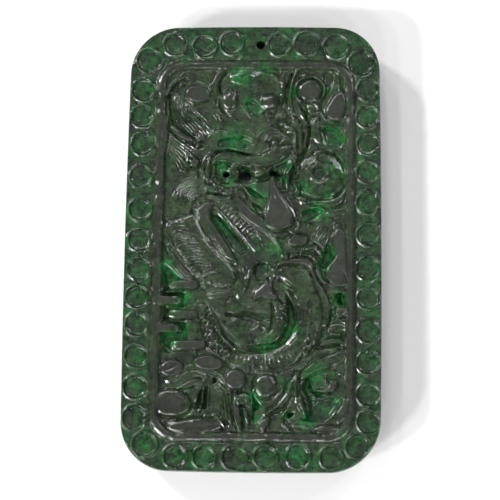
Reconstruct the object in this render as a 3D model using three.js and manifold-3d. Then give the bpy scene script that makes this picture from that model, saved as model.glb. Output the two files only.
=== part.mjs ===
/*
 * A carved jade plaque: one slab of dark green stone that lies on its flat back, with its
 * carved face up. A border of drilled rings runs round a sunk panel, and a raised rim
 * divides the two. In the panel a horned dragon turns its head over its coiled body, a
 * pearl beside it, with clouds above and waves below.
 *
 * Millimetres. X runs across the plaque, Y up its height, Z out of the carved face.
 * The origin is the middle of the flat back.
 */
import * as THREE from 'three';
import { mergeVertices } from 'three/addons/utils/BufferGeometryUtils.js';
import Module from 'manifold-3d';

const wasm = await Module();
wasm.setup();

// The slab.
const WIDTH = 40;
const HEIGHT = 70.5;
const FACE = 6.5; // height of the polished face over the back, and so the thickness
const CORNER_RADII = { topRight: 7.0, topLeft: 7.6, bottomLeft: 7.2, bottomRight: 7.9 };
const SIDE_BOW = 0.22; // how far each straight side swells outwards at its middle
const CORNER_STEPS = 5;
const RIM_STEPS = 4;

// Levels of the carving, as heights over the back.
const BORDER_FLOOR = 5.75;
const RING_TOP = 6.3;
const DISH_FLOOR = 5.15;
const PANEL_FLOOR = 4.7;
const WELL_FLOOR = 4.1;
const ROOT = 3.4; // where every raised form starts, inside the stone

// The rim between border and panel.
const RIM_DROP = 0.08;
const RIM = { left: -15.3, right: 15.7, bottom: -30.5, top: 29.3, radius: 4.2, width: 1.25 };

// The rings of the border.
const RING = { radius: 1.85, wall: 0.38, sides: 9 };

// Drilled holes: one through the slab for the cord, three blind ones in the mouth.
const CORD_HOLE = { x: 0.9, y: 32.1, radius: 0.72 };
const MOUTH_HOLES = [
  { x: -4.25, y: 10.9, radius: 0.55 },
  { x: -1.2, y: 10.85, radius: 0.95 },
  { x: 3.1, y: 11.2, radius: 0.6 },
];
const MOUTH_HOLE_FLOOR = 1.6;

const JADE = new THREE.MeshStandardMaterial({
  color: 0x1d4a2a,
  roughness: 0.18,
  metalness: 0,
});

// --- Solids -------------------------------------------------------------------------

/** The volume that a closed mesh encloses, negative where its faces point inwards. */
function signedVolume(positions, index) {
  const [a, b, c] = [new THREE.Vector3(), new THREE.Vector3(), new THREE.Vector3()];
  let sum = 0;
  for (let i = 0; i < index.length; i += 3) {
    a.fromArray(positions, index[i] * 3);
    b.fromArray(positions, index[i + 1] * 3);
    c.fromArray(positions, index[i + 2] * 3);
    sum += a.dot(b.cross(c));
  }
  return sum / 6;
}

/** The closed body of a three.js geometry, with its faces turned outwards. */
function toSolid(geometry) {
  const bare = new THREE.BufferGeometry();
  bare.setAttribute('position', geometry.getAttribute('position').clone());
  if (geometry.index) bare.setIndex(geometry.index.clone());
  const merged = mergeVertices(bare, 1e-4);
  const positions = merged.getAttribute('position').array;
  const faces = [];
  for (let i = 0; i < merged.index.count; i += 3) {
    const [a, b, c] = [0, 1, 2].map((k) => merged.index.array[i + k]);
    if (a !== b && b !== c && c !== a) faces.push(a, b, c);
  }
  if (signedVolume(positions, faces) < 0) faces.reverse();
  return new wasm.Manifold(new wasm.Mesh({
    numProp: 3,
    vertProperties: new Float32Array(positions),
    triVerts: new Uint32Array(faces),
  }));
}

/** The geometry of a finished body. */
function toGeometry(solid) {
  const mesh = solid.getMesh();
  const geometry = new THREE.BufferGeometry();
  geometry.setAttribute('position', new THREE.BufferAttribute(mesh.vertProperties, 3));
  geometry.setIndex(new THREE.BufferAttribute(mesh.triVerts, 1));
  geometry.computeVertexNormals();
  return geometry;
}

const join = (solids) => solids.reduce((whole, solid) => whole.add(solid));

/** A closed loft through rings of points that all have the same count. */
function loft(sections) {
  const count = sections[0].length;
  const positions = sections.flat().flatMap((point) => [point.x, point.y, point.z]);
  const faces = [];
  for (let s = 0; s + 1 < sections.length; s += 1) {
    for (let i = 0; i < count; i += 1) {
      const a = s * count + i;
      const b = s * count + ((i + 1) % count);
      faces.push(a, b, b + count, a, b + count, a + count);
    }
  }
  const last = (sections.length - 1) * count;
  for (let i = 1; i + 1 < count; i += 1) {
    faces.push(0, i + 1, i, last, last + i, last + i + 1);
  }
  const geometry = new THREE.BufferGeometry();
  geometry.setAttribute('position', new THREE.Float32BufferAttribute(positions, 3));
  geometry.setIndex(faces);
  return toSolid(geometry);
}

/** A body turned about Z from a profile of [share of the radius, height] points. */
function turned(profile, { x, y, radius, across = radius, turn = 0, sides = 10 }) {
  const points = profile.map(([share, height]) => new THREE.Vector2(share, height));
  const geometry = new THREE.LatheGeometry(points, sides);
  geometry.rotateX(Math.PI / 2);
  geometry.scale(radius, across, 1);
  geometry.rotateZ(THREE.MathUtils.degToRad(turn));
  geometry.translate(x, y, 0);
  return toSolid(geometry);
}

const SMALL = 2; // a dome under this radius has fewer sides

/** A dome on an oval foot: its crown and its edge lie so deep below the face. */
function dome(place, crown = 0, edge = 1) {
  const profile = [[0, ROOT], [1, ROOT]];
  for (const angle of [0, 40, 90]) {
    const turn = THREE.MathUtils.degToRad(angle);
    profile.push([Math.cos(turn), FACE - edge + (edge - crown) * Math.sin(turn)]);
  }
  profile.at(-1)[0] = 0;
  return turned(profile, { sides: place.radius < SMALL ? 8 : 10, ...place });
}

/** A flat-topped stud with a bevelled edge. */
function stud(place, depth = 0, bevel = 0.25) {
  const top = FACE - depth;
  const inner = 1 - bevel / place.radius;
  return turned([[0, ROOT], [1, ROOT], [1, top - bevel], [inner, top], [0, top]], place);
}

/** A straight-walled hole or dish, open upwards from its floor. */
function drilled({ x, y, radius, sides = 10 }, floor) {
  const profile = [[0, floor], [1, floor], [1, FACE + 1], [0, FACE + 1]];
  return turned(profile, { x, y, radius, sides });
}

// How a band is crowned: [share of the half width, share of the crown lost there].
const CROWNED = [[-1, 1], [-0.55, 0.25], [0.55, 0.25], [1, 1]];
const FLAT = [[-1, 1], [-0.8, 0], [0.8, 0], [1, 1]];
const KEEN = [[-1, 1], [0, 0], [1, 1]];
const SLENDER = 0.55; // a band whose half width stays under this comes to one keen crest

/**
 * A carved strand along a smooth curve. A station is [x, y, half width, depth below the
 * face], and the strand's edges drop by its crown.
 */
function band(stations, { shape, crown = 0.45, steps = 1 } = {}) {
  const slender = Math.max(...stations.map(([, , half]) => half)) < SLENDER;
  const across = shape ?? (slender ? KEEN : CROWNED);
  const route = new THREE.CatmullRomCurve3(stations.map(([x, y]) => new THREE.Vector3(x, y, 0)));
  const form = new THREE.CatmullRomCurve3(
    stations.map(([, , half, depth]) => new THREE.Vector3(half, depth, 0)),
  );
  const count = (stations.length - 1) * steps;
  const sections = [];
  for (let i = 0; i <= count; i += 1) {
    const centre = route.getPoint(i / count);
    const along = route.getTangent(i / count);
    const { x: half, y: depth } = form.getPoint(i / count);
    const at = (share, height) => new THREE.Vector3(
      centre.x - along.y * share * half,
      centre.y + along.x * share * half,
      height,
    );
    sections.push([
      at(-1, ROOT),
      ...across.map(([share, lost]) => at(share, FACE - depth - crown * lost)),
      at(1, ROOT),
    ]);
  }
  return loft(sections);
}

/** A flat-topped form with a free outline, bevelled at its edge. */
function pad(outline, depth = 0, { bevel = 0.22, steps = 1, foot = ROOT } = {}) {
  const curve = new THREE.CatmullRomCurve3(
    outline.map(([x, y]) => new THREE.Vector3(x, y, 0)),
    true,
  );
  const shape = new THREE.Shape(
    curve.getPoints(outline.length * steps).slice(0, -1).map(({ x, y }) => new THREE.Vector2(x, y)),
  );
  const geometry = new THREE.ExtrudeGeometry(shape, {
    depth: FACE - depth - foot - 2 * bevel,
    bevelThickness: bevel,
    bevelSize: bevel,
    bevelOffset: -bevel,
    bevelSegments: 1,
  });
  geometry.translate(0, 0, foot + bevel);
  return toSolid(geometry);
}

/** Strands in a sheaf: each lies between the first and the last, which have equal counts. */
function sheaf(first, last, count, options) {
  return Array.from({ length: count }, (unused, i) => {
    const share = i / (count - 1);
    const between = first.map((station, k) => (
      station.map((value, n) => THREE.MathUtils.lerp(value, last[k][n], share))
    ));
    return band(between, options);
  });
}

// --- The slab and its border --------------------------------------------------------

/** The rounded outline, drawn in by an inset, as points at one height. */
function outlineAt(inset, height) {
  const corners = [
    { sx: 1, sy: 1, radius: CORNER_RADII.topRight },
    { sx: -1, sy: 1, radius: CORNER_RADII.topLeft },
    { sx: -1, sy: -1, radius: CORNER_RADII.bottomLeft },
    { sx: 1, sy: -1, radius: CORNER_RADII.bottomRight },
  ];
  const [halfX, halfY] = [WIDTH / 2, HEIGHT / 2];
  const points = [];
  corners.forEach(({ sx, sy, radius }, quarter) => {
    const [cx, cy] = [halfX - SIDE_BOW - radius, halfY - SIDE_BOW - radius];
    for (let i = 0; i <= CORNER_STEPS; i += 1) {
      const angle = (Math.PI / 2) * (quarter + i / CORNER_STEPS);
      points.push(new THREE.Vector3(
        sx * cx + (radius - inset) * Math.cos(angle),
        sy * cy + (radius - inset) * Math.sin(angle),
        height,
      ));
    }
    const middle = [[0, halfY], [-halfX, 0], [0, -halfY], [halfX, 0]][quarter];
    const drawnIn = middle.map((value) => value - Math.sign(value) * inset);
    points.push(new THREE.Vector3(...drawnIn, height));
  });
  return points;
}

/** The slab up to its border floor, its edges softened all round. */
function slab() {
  const steps = [[0.5, 0], [0, 0.6], [0.12, BORDER_FLOOR]];
  return loft(steps.map(([inset, height]) => outlineAt(inset, height)));
}

/** A rounded rectangle set in from the rim's outer line. */
function rimPath(inset) {
  const { left, right, bottom, top } = RIM;
  const radius = RIM.radius - inset;
  const path = new THREE.Path();
  path.absarc(right - RIM.radius, top - RIM.radius, radius, 0, Math.PI / 2);
  path.absarc(left + RIM.radius, top - RIM.radius, radius, Math.PI / 2, Math.PI);
  path.absarc(left + RIM.radius, bottom + RIM.radius, radius, Math.PI, Math.PI * 1.5);
  path.absarc(right - RIM.radius, bottom + RIM.radius, radius, Math.PI * 1.5, Math.PI * 2);
  return path;
}

/** A flat ring or plate of the rim's outline, from an outer to an inner inset. */
function rimSolid(outer, inner, low, high) {
  const shape = new THREE.Shape(rimPath(outer).getPoints(RIM_STEPS));
  if (inner !== null) shape.holes.push(new THREE.Path(rimPath(inner).getPoints(RIM_STEPS)));
  const geometry = new THREE.ExtrudeGeometry(shape, { depth: high - low, bevelEnabled: false });
  geometry.translate(0, 0, low);
  return toSolid(geometry);
}

/** The raised rim, a flat line at the level of the face. */
const rim = () => rimSolid(0, RIM.width, ROOT, FACE - RIM_DROP);

/** Middles of the drilled rings, which were spaced by eye. */
function ringPlaces() {
  const places = [];
  const row = (y, xs) => xs.forEach((x) => places.push([x, y]));
  const column = (x, ys) => ys.forEach((y) => places.push([x, y]));
  row(32.2, [-12.7, -8.0, -3.7, 3.9, 8.3, 12.8]);
  row(-33.0, [-11.2, -6.9, -2.3, 2.4, 7.3, 12.3]);
  row(29.4, [-16.7, 16.9]);
  row(-31.1, [-15.9, 16.3]);
  column(-17.6, [24.6, 20.2, 15.6, 10.4, 5.2, 0.4, -4.1, -8.6, -12.9, -17.8, -22.5, -27.1]);
  column(17.7, [24.7, 20.4, 15.7, 11.2, 6.4, 1.4, -3.9, -8.6, -13.5, -18.3, -23.3, -27.4]);
  return places;
}

/** The stone that a tube drill leaves standing; its dish is cut into it afterwards. */
function ringStud(x, y) {
  const profile = [[0, ROOT], [1, ROOT], [1, RING_TOP], [0, RING_TOP]];
  return turned(profile, { x, y, radius: RING.radius, sides: RING.sides });
}

const ringDish = (x, y) => (
  drilled({ x, y, radius: RING.radius - RING.wall, sides: RING.sides }, DISH_FLOOR)
);

// --- The dragon's head --------------------------------------------------------------

function skull() {
  return [
    dome({ x: -0.8, y: 23.6, radius: 5.6, across: 5.2 }, 0.45, 1.5),
    dome({ x: -0.6, y: 18.6, radius: 5.4, across: 3.4 }, 0.75, 1.6),
    dome({ x: -1.2, y: 26.2, radius: 2.9, across: 1.9 }, 0.15, 0.9),
    // The eyes stand out as full domes.
    dome({ x: -4.0, y: 22.8, radius: 1.5, across: 1.95, turn: 12 }, 0, 1.3),
    dome({ x: 2.4, y: 22.7, radius: 1.45, across: 1.5 }, 0, 1.2),
    // A fold runs down each side of the head.
    band([[-4.2, 28.1, 0.3, 0.6], [-6.1, 26.6, 0.5, 0.4], [-6.9, 24.6, 0.5, 0.4],
      [-5.9, 22.4, 0.35, 0.5], [-4.9, 20.6, 0.3, 0.7]]),
    band([[3.6, 27.6, 0.3, 0.6], [4.5, 26.2, 0.45, 0.3], [4.6, 24.4, 0.45, 0.4],
      [4.6, 21.4, 0.4, 0.5], [4.8, 19.2, 0.55, 0.4]]),
  ];
}

function nose() {
  return [
    // The nostril curls round a small knob.
    band([[0.3, 16.4, 0.35, 0.7], [1.0, 17.7, 0.4, 0.45], [2.7, 18.3, 0.45, 0.3],
      [4.1, 17.5, 0.4, 0.4], [4.3, 16.3, 0.35, 0.55]]),
    dome({ x: 3.3, y: 15.8, radius: 0.9 }, 0.25, 0.9),
    band([[-7.0, 17.0, 0.3, 0.8], [-5.3, 18.1, 0.45, 0.55], [-3.9, 17.6, 0.4, 0.6],
      [-2.2, 17.2, 0.4, 0.7], [-0.7, 18.0, 0.3, 0.7]]),
    dome({ x: 4.7, y: 19.2, radius: 0.75 }, 0.1, 0.9),
  ];
}

function mouth() {
  return [
    // The upper lip, a broad smooth roll.
    band([[-7.3, 9.4, 0.5, 0.7], [-7.4, 11.4, 0.6, 0.3], [-6.9, 13.0, 0.7, 0.1],
      [-5.0, 13.9, 0.85, 0.2], [-2.4, 13.6, 0.9, 0.35], [0.2, 12.9, 0.9, 0.4],
      [2.6, 13.0, 0.95, 0.35], [4.6, 14.1, 0.9, 0.3], [5.8, 15.4, 0.5, 0.5]]),
    // Gums between the drilled holes.
    dome({ x: -2.9, y: 11.5, radius: 1.1, across: 1.3 }, 0.6, 1.3),
    band([[-5.9, 10.4, 0.35, 0.5], [-4.9, 9.2, 0.5, 0.45], [-3.4, 8.6, 0.5, 0.5],
      [-2.3, 9.4, 0.4, 0.6]]),
    // The lower jaw and its beard, which runs on as a flat strap down to the body.
    band([[-7.6, 9.0, 0.5, 0.6], [-6.2, 8.7, 0.7, 0.5], [-4.6, 8.0, 0.5, 0.5],
      [-3.1, 7.4, 0.4, 0.5]]),
    band([[-2.4, 9.0, 0.3, 0.5], [-1.3, 7.6, 0.45, 0.15], [0.0, 6.3, 0.5, 0.1],
      [1.3, 5.3, 0.3, 0.4]]),
    band([[-2.7, 8.0, 0.4, 0.4], [-2.1, 5.9, 0.9, 0.1], [-0.5, 4.1, 1.0, 0.05],
      [1.5, 2.7, 0.9, 0.1], [3.8, 1.2, 0.7, 0.2], [5.4, 0.9, 0.4, 0.5]], { shape: FLAT, crown: 0.3 }),
    // Tongue: a neck that swells into a flat drop.
    pad([[2.6, 10.6], [2.5, 7.6], [1.9, 5.6], [2.0, 3.2], [4.0, 1.9], [6.1, 3.2], [5.9, 5.4],
      [4.5, 7.4], [3.7, 8.8], [3.6, 10.6]], 0.05),
  ];
}

function mane() {
  return [
    ...sheaf(
      [[-13.2, 19.4, 0.3, 0.7], [-11.4, 18.2, 0.42, 0.15], [-9.4, 16.6, 0.3, 0.5]],
      [[-10.4, 22.4, 0.25, 0.9], [-8.3, 20.6, 0.36, 0.5], [-6.2, 18.4, 0.3, 0.6]],
      5,
    ),
    ...sheaf(
      [[-14.0, 14.2, 0.3, 0.7], [-12.9, 12.8, 0.4, 0.3], [-11.6, 10.9, 0.25, 0.6]],
      [[-13.6, 17.6, 0.3, 0.7], [-10.6, 15.6, 0.42, 0.3], [-8.7, 14.0, 0.3, 0.5]],
      4,
    ),
    // The lock that frames the ear runs along the rim.
    band([[-11.4, 26.2, 0.4, 0.6], [-13.0, 24.6, 0.6, 0.2], [-13.6, 22.0, 0.5, 0.4],
      [-13.4, 19.0, 0.4, 0.7]]),
    stud({ x: -9.0, y: 23.8, radius: 2.0, across: 1.45, turn: -14 }, 0.1),
    // Tufts under the jaw.
    ...sheaf(
      [[-12.9, 5.2, 0.25, 0.9], [-11.8, 7.6, 0.35, 0.6], [-9.4, 10.0, 0.3, 0.5]],
      [[-9.2, 5.6, 0.25, 0.8], [-8.6, 6.8, 0.4, 0.4], [-7.6, 7.9, 0.3, 0.4]],
      3,
    ),
  ];
}

// --- Whisker, clouds and pearl at the right --------------------------------------------

function whisker() {
  return [
    band([[7.2, 28.0, 0.35, 0.5], [6.1, 26.4, 0.5, 0.4], [5.9, 24.2, 0.45, 0.5],
      [6.1, 21.8, 0.45, 0.5], [6.7, 19.6, 0.6, 0.1], [7.6, 18.0, 0.55, 0.3],
      [7.1, 16.2, 0.5, 0.3], [6.6, 14.2, 0.45, 0.4]]),
    band([[6.4, 14.0, 0.3, 0.4], [5.8, 12.4, 0.35, 0.3], [5.3, 10.8, 0.45, 0.2],
      [5.2, 9.0, 0.3, 0.6]]),
    band([[7.6, 14.6, 0.3, 0.5], [6.9, 12.4, 0.45, 0.3], [6.6, 10.2, 0.45, 0.3],
      [6.7, 7.8, 0.35, 0.4]]),
    band([[10.2, 20.6, 0.4, 0.6], [9.5, 18.8, 0.6, 0.5], [9.6, 17.0, 0.6, 0.6],
      [10.6, 15.6, 0.4, 0.8]]),
  ];
}

function topClouds() {
  return [
    stud({ x: 8.8, y: 24.5, radius: 1.9 }, 0),
    dome({ x: 9.3, y: 21.7, radius: 1.15, across: 1.2 }, 0.1, 0.9),
    pad([[12.7, 24.3], [12.0, 22.6], [11.2, 20.9], [12.0, 19.6], [13.4, 19.7], [14.2, 21.2],
      [13.9, 23.0], [13.6, 24.3]], 0.02),
    band([[9.9, 18.8, 0.25, 0.9], [11.8, 18.9, 0.35, 0.6], [13.8, 17.9, 0.35, 0.5],
      [14.1, 15.8, 0.3, 0.8]]),
  ];
}

function pearl() {
  const centre = { x: 10.4, y: 11.0 };
  return [
    dome({ ...centre, radius: 3.75, across: 3.7, sides: 18 }, 0.55, 1.5),
    turned([[0.55, ROOT], [1, ROOT], [1, FACE - 0.75], [0.8, FACE - 0.45], [0.6, FACE - 0.75],
      [0.55, ROOT]], { ...centre, radius: 1.75 }),
    dome({ x: 8.3, y: 6.6, radius: 1.1, across: 0.8 }, 0.4, 1.0),
    band([[9.0, 6.8, 0.35, 0.7], [10.8, 6.4, 0.5, 0.5], [12.8, 6.8, 0.6, 0.4],
      [14.2, 8.0, 0.4, 0.4]]),
  ];
}

function sideClouds() {
  return [
    pad([[13.2, 2.6], [12.3, 0.9], [12.8, -1.2], [12.4, -2.9], [11.3, -4.2], [11.6, -5.9],
      [12.6, -6.9], [14.4, -6.8], [14.8, -3.4], [14.7, 0.2], [14.2, 2.0]], 0),
    stud({ x: 6.9, y: 0.3, radius: 1.7, across: 1.0 }, 0.15),
    ...sheaf(
      [[8.3, 0.6, 0.2, 0.9], [9.4, 1.6, 0.3, 0.4], [10.4, 2.5, 0.2, 0.6]],
      [[10.4, -1.2, 0.2, 0.9], [11.4, 0.2, 0.3, 0.4], [12.0, 1.6, 0.2, 0.6]],
      3,
    ),
    dome({ x: 12.1, y: -9.0, radius: 0.75, across: 1.15, turn: 20 }, 0.1, 0.9),
    dome({ x: 13.7, y: -10.7, radius: 0.9, across: 0.9 }, 0.1, 0.8),
    band([[11.6, -12.6, 0.3, 0.7], [12.9, -11.9, 0.4, 0.3], [14.0, -12.1, 0.4, 0.3],
      [14.9, -13.0, 0.3, 0.5]]),
    pad([[11.0, -15.4], [12.2, -14.9], [13.8, -15.2], [13.9, -16.3], [12.4, -16.9],
      [11.0, -17.0]], 0.2),
  ];
}

// --- The body -------------------------------------------------------------------------

function belly() {
  return [
    ...sheaf(
      [[-4.9, 5.0, 0.3, 0.8], [-3.2, 6.4, 0.3, 0.8]],
      [[-0.7, 0.3, 0.3, 0.8], [1.2, 1.8, 0.3, 0.8]],
      5,
    ),
    band([[-5.0, 6.4, 0.4, 0.9], [-2.6, 3.2, 0.9, 0.9], [0.2, 0.4, 1.0, 0.9],
      [2.6, -1.4, 0.9, 0.9]], { shape: FLAT }),
    band([[1.0, 2.3, 0.3, 0.7], [2.8, 0.9, 0.35, 0.5], [4.0, -0.8, 0.35, 0.5],
      [4.3, -2.4, 0.3, 0.6]]),
  ];
}

function foreleg() {
  return [
    // A long hollow leaf between two keen ridges, with a flat strap on its outer side.
    band([[-7.8, 6.2, 0.3, 0.7], [-7.0, 4.0, 0.4, 0.2], [-5.2, 1.4, 0.45, 0],
      [-3.4, -1.2, 0.45, 0], [-2.5, -2.7, 0.3, 0.5]], { crown: 0.6 }),
    band([[-6.3, 6.2, 0.3, 0.7], [-4.4, 4.3, 0.35, 0.25], [-2.2, 1.9, 0.35, 0.25],
      [0.1, -0.8, 0.3, 0.5]], { crown: 0.6 }),
    pad([[-9.0, 5.0], [-7.4, 6.4], [-6.2, 5.8], [-6.8, 3.8], [-4.9, 0.9], [-3.1, -1.8],
      [-3.2, -2.8], [-5.0, -1.6], [-7.0, 1.4]], 0.3),
    dome({ x: -3.6, y: 1.9, radius: 1.1, across: 4.4, turn: 38 }, 1.0, 1.6),
  ];
}

function wing() {
  return [
    pad([[-14.4, 2.4], [-12.4, 3.8], [-9.2, 4.5], [-8.2, 3.0], [-6.4, -0.2], [-3.6, -2.6],
      [-2.8, -4.6], [-3.4, -6.9], [-6.6, -6.9], [-9.2, -5.1], [-11.6, -2.4], [-13.2, 0.6]], 0.45),
    ...sheaf(
      [[-13.0, 0.9, 0.25, 0.5], [-11.7, -1.6, 0.35, 0.0], [-8.6, -5.4, 0.25, 0.4]],
      [[-9.6, 3.8, 0.25, 0.6], [-7.6, 0.2, 0.35, 0.3], [-4.4, -3.2, 0.25, 0.4]],
      5,
      { crown: 0.3 },
    ),
    band([[-13.2, -0.4, 0.4, 0.8], [-12.0, -2.8, 0.5, 0.3], [-10.2, -4.9, 0.5, 0.2],
      [-8.6, -6.6, 0.35, 0.5]], { shape: FLAT }),
    band([[-8.4, -7.4, 0.6, 0.6], [-5.4, -8.1, 0.8, 0.3], [-2.4, -7.9, 0.7, 0.4],
      [-1.0, -5.6, 0.4, 0.4], [-1.3, -3.4, 0.3, 0.6]]),
  ];
}

function coil() {
  return [
    // The coiled body, thick where it leaves the chest and slender at the waist.
    band([[4.4, -4.4, 1.3, 0.5], [6.8, -4.2, 1.9, 0.35], [8.6, -7.0, 2.3, 0.3],
      [9.1, -11.4, 2.3, 0.35], [7.0, -15.6, 2.1, 0.4], [2.4, -18.1, 1.5, 0.5],
      [-2.6, -17.4, 1.6, 0.5], [-5.9, -14.4, 1.8, 0.4], [-7.4, -10.2, 1.1, 0.6]],
    { steps: 2, crown: 0.6 }),
    // Its crest, and the line where the scales stop.
    band([[3.6, -3.2, 0.3, 0.4], [5.6, -2.3, 0.4, 0.15], [8.4, -2.4, 0.45, 0.1],
      [10.1, -4.2, 0.4, 0.15], [11.1, -7.0, 0.35, 0.3], [11.9, -9.6, 0.3, 0.5]]),
    ...sheaf(
      [[10.0, -7.4, 0.3, 0.5], [10.4, -11.6, 0.4, 0.2], [8.2, -16.0, 0.3, 0.4]],
      [[7.2, -7.6, 0.3, 0.5], [7.7, -11.2, 0.4, 0.2], [6.0, -14.6, 0.3, 0.4]],
      3,
    ),
  ];
}

function haunch() {
  return [
    dome({ x: -1.0, y: -13.6, radius: 3.6, across: 2.4, turn: -12 }, 0.5, 1.5),
    band([[3.4, -8.8, 0.5, 0.5], [4.3, -10.6, 0.8, 0.3], [4.3, -13.0, 0.8, 0.4],
      [2.8, -15.2, 0.6, 0.6]]),
    // The clenched claw and the wrist above it.
    pad([[0.2, -8.9], [0.4, -7.8], [2.0, -6.3], [3.0, -6.9], [4.2, -8.5], [2.8, -9.0]], 0.05),
    band([[3.6, -3.2, 0.35, 0.6], [3.3, -4.8, 0.45, 0.3], [2.7, -6.6, 0.5, 0.2]]),
  ];
}

// --- Clouds and waves at the foot ------------------------------------------------------

/** Round-ended bars that point in from both sides of a cloud bank by turns. */
function combBars() {
  const halfWidth = 0.8;
  const bar = (from, to, y) => (
    band([[from, y, halfWidth, 0.05], [(from + to) / 2, y, halfWidth, 0.05],
      [to - Math.sign(to - from) * 0.5, y, halfWidth * 0.85, 0.15], [to, y, 0.2, 0.5]],
    { shape: FLAT, crown: 0.3, steps: 1 })
  );
  return [
    bar(-8.6, -12.9, -6.7),
    bar(-15.0, -11.0, -9.2),
    bar(-8.4, -12.8, -11.5),
    bar(-15.0, -11.2, -13.6),
    bar(-8.0, -12.3, -16.1),
    band([[-9.0, -7.2, 0.9, 0.4], [-9.3, -10.6, 0.7, 0.6], [-8.9, -15.0, 0.7, 0.6],
      [-8.5, -18.2, 0.6, 0.6]]),
  ];
}

function waves() {
  return [
    stud({ x: -12.1, y: -19.5, radius: 1.9, across: 1.35, turn: 8 }, 0.05),
    stud({ x: -6.5, y: -18.7, radius: 2.2, across: 1.3, turn: -8 }, 0.1),
    stud({ x: -2.3, y: -21.2, radius: 1.6, across: 1.7 }, 0.05),
    dome({ x: -12.0, y: -25.0, radius: 3.0, across: 2.1, turn: -8 }, 0, 0.8),
    dome({ x: -8.2, y: -28.2, radius: 4.2, across: 1.3, turn: 4 }, 0, 0.8),
    band([[-13.4, -21.2, 0.3, 0.6], [-11.8, -21.3, 0.35, 0.4], [-9.8, -19.9, 0.4, 0.3],
      [-7.6, -19.9, 0.35, 0.4], [-5.2, -20.9, 0.4, 0.4], [-3.6, -22.6, 0.35, 0.4],
      [-2.9, -24.2, 0.3, 0.6]]),
    band([[-12.6, -22.6, 0.3, 0.6], [-10.4, -21.6, 0.45, 0.3], [-8.0, -21.2, 0.4, 0.4],
      [-6.6, -21.6, 0.3, 0.6]]),
    ...sheaf(
      [[-8.2, -22.4, 0.3, 0.6], [-8.3, -24.6, 0.4, 0.3], [-9.4, -26.8, 0.3, 0.5]],
      [[-4.6, -21.4, 0.25, 0.6], [-3.3, -24.4, 0.4, 0.2], [-2.4, -28.6, 0.25, 0.5]],
      3,
    ),
    band([[-2.1, -23.2, 0.4, 0.3], [-2.0, -25.8, 0.5, 0.2], [-1.5, -28.4, 0.4, 0.4]],
      { shape: FLAT }),
    dome({ x: -0.9, y: -24.2, radius: 0.95, across: 0.9 }, 0, 0.8),
    dome({ x: 2.4, y: -22.2, radius: 1.9, across: 1.9 }, 0.1, 0.9),
  ];
}

function scrolls() {
  return [
    // The stem that carries the scrolls, with its claw and its leaf.
    band([[1.6, -28.4, 0.3, 0.5], [2.8, -26.3, 0.4, 0.4], [4.8, -24.8, 0.5, 0.4],
      [5.9, -22.6, 0.5, 0.4], [7.2, -20.2, 0.4, 0.5]]),
    pad([[1.4, -28.3], [2.2, -26.8], [3.2, -26.6], [3.0, -28.0], [2.0, -29.3]], 0.05),
    band([[7.2, -20.4, 0.35, 0.4], [6.9, -22.6, 0.4, 0.3], [7.2, -24.6, 0.4, 0.2],
      [8.1, -26.8, 0.25, 0.4]]),
    dome({ x: 7.8, y: -24.9, radius: 0.5, across: 1.5, turn: 12 }, 0, 0.8),
    band([[7.0, -25.8, 0.25, 0.5], [5.6, -25.9, 0.35, 0.3], [4.9, -27.0, 0.4, 0.2],
      [5.6, -28.3, 0.35, 0.3], [6.2, -28.9, 0.25, 0.5]]),
    // The tail sweeps up to the rim.
    band([[7.6, -20.6, 0.4, 0.6], [9.2, -19.3, 0.9, 0.5], [11.4, -18.4, 1.1, 0.4],
      [13.4, -17.6, 0.8, 0.3], [14.5, -16.4, 0.4, 0.4]]),
    // The large curl: a hook round a comma.
    band([[14.4, -22.6, 0.45, 0.3], [14.2, -20.7, 0.4, 0.3], [12.9, -19.9, 0.35, 0.3],
      [11.6, -20.3, 0.35, 0.3], [11.4, -21.5, 0.3, 0.4]]),
    band([[12.4, -21.2, 0.4, 0.2], [12.6, -22.2, 0.6, 0.05], [11.6, -22.9, 0.4, 0.2],
      [10.2, -22.8, 0.2, 0.6]]),
    pad([[13.9, -24.0], [13.1, -25.8], [12.8, -27.6], [13.9, -28.0], [14.9, -26.2],
      [15.0, -23.8]], 0.03),
    band([[9.6, -28.7, 0.25, 0.5], [11.4, -28.5, 0.5, 0.1], [13.4, -28.5, 0.35, 0.3]],
      { shape: FLAT }),
  ];
}

/** Hollows that go below the panel's floor, where the stone is thin and glows green. */
function wells() {
  const hollow = (outline) => pad(outline, -1.0, { bevel: 0.15, foot: WELL_FLOOR });
  return [
    hollow([[-14.0, -3.0], [-11.4, -5.4], [-9.8, -5.8], [-13.0, -6.0]]),
    hollow([[-13.6, -7.9], [-10.8, -7.9], [-10.0, -9.4], [-12.4, -10.6], [-14.0, -10.4]]),
    hollow([[9.8, -20.4], [8.4, -22.6], [8.8, -27.4], [12.0, -27.2], [12.6, -24.2], [10.2, -22.8]]),
    hollow([[-1.8, -0.8], [0.6, -1.6], [2.8, -2.6], [2.2, -5.6], [-0.2, -6.2], [-1.0, -3.2]]),
  ];
}

// --- The whole plaque ------------------------------------------------------------------

function plaque() {
  const places = ringPlaces();
  const dishes = join(places.map(([x, y]) => ringDish(x, y)));
  const sunkPanel = rimSolid(RIM.width / 2, null, PANEL_FLOOR, FACE + 1);
  const ground = slab().subtract(sunkPanel).subtract(join(wells()));
  const figures = [
    skull, nose, mouth, mane, whisker, topClouds, pearl, sideClouds, belly, foreleg, wing,
    coil, haunch, combBars, waves, scrolls,
  ].flatMap((figure) => figure());
  const border = join(places.map(([x, y]) => ringStud(x, y)));
  const panel = join(figures).intersect(rimSolid(RIM.width / 2, null, ROOT - 1, FACE));
  const carving = join([border, panel, rim()]);
  const holes = [
    drilled(CORD_HOLE, -1),
    ...MOUTH_HOLES.map((hole) => drilled(hole, MOUTH_HOLE_FLOOR)),
    dishes,
  ];
  return ground.add(carving).subtract(join(holes));
}

const model = new THREE.Group();
const stone = new THREE.Mesh(toGeometry(plaque()), JADE);
stone.name = 'plaque';
model.add(stone);

export default model;
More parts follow.
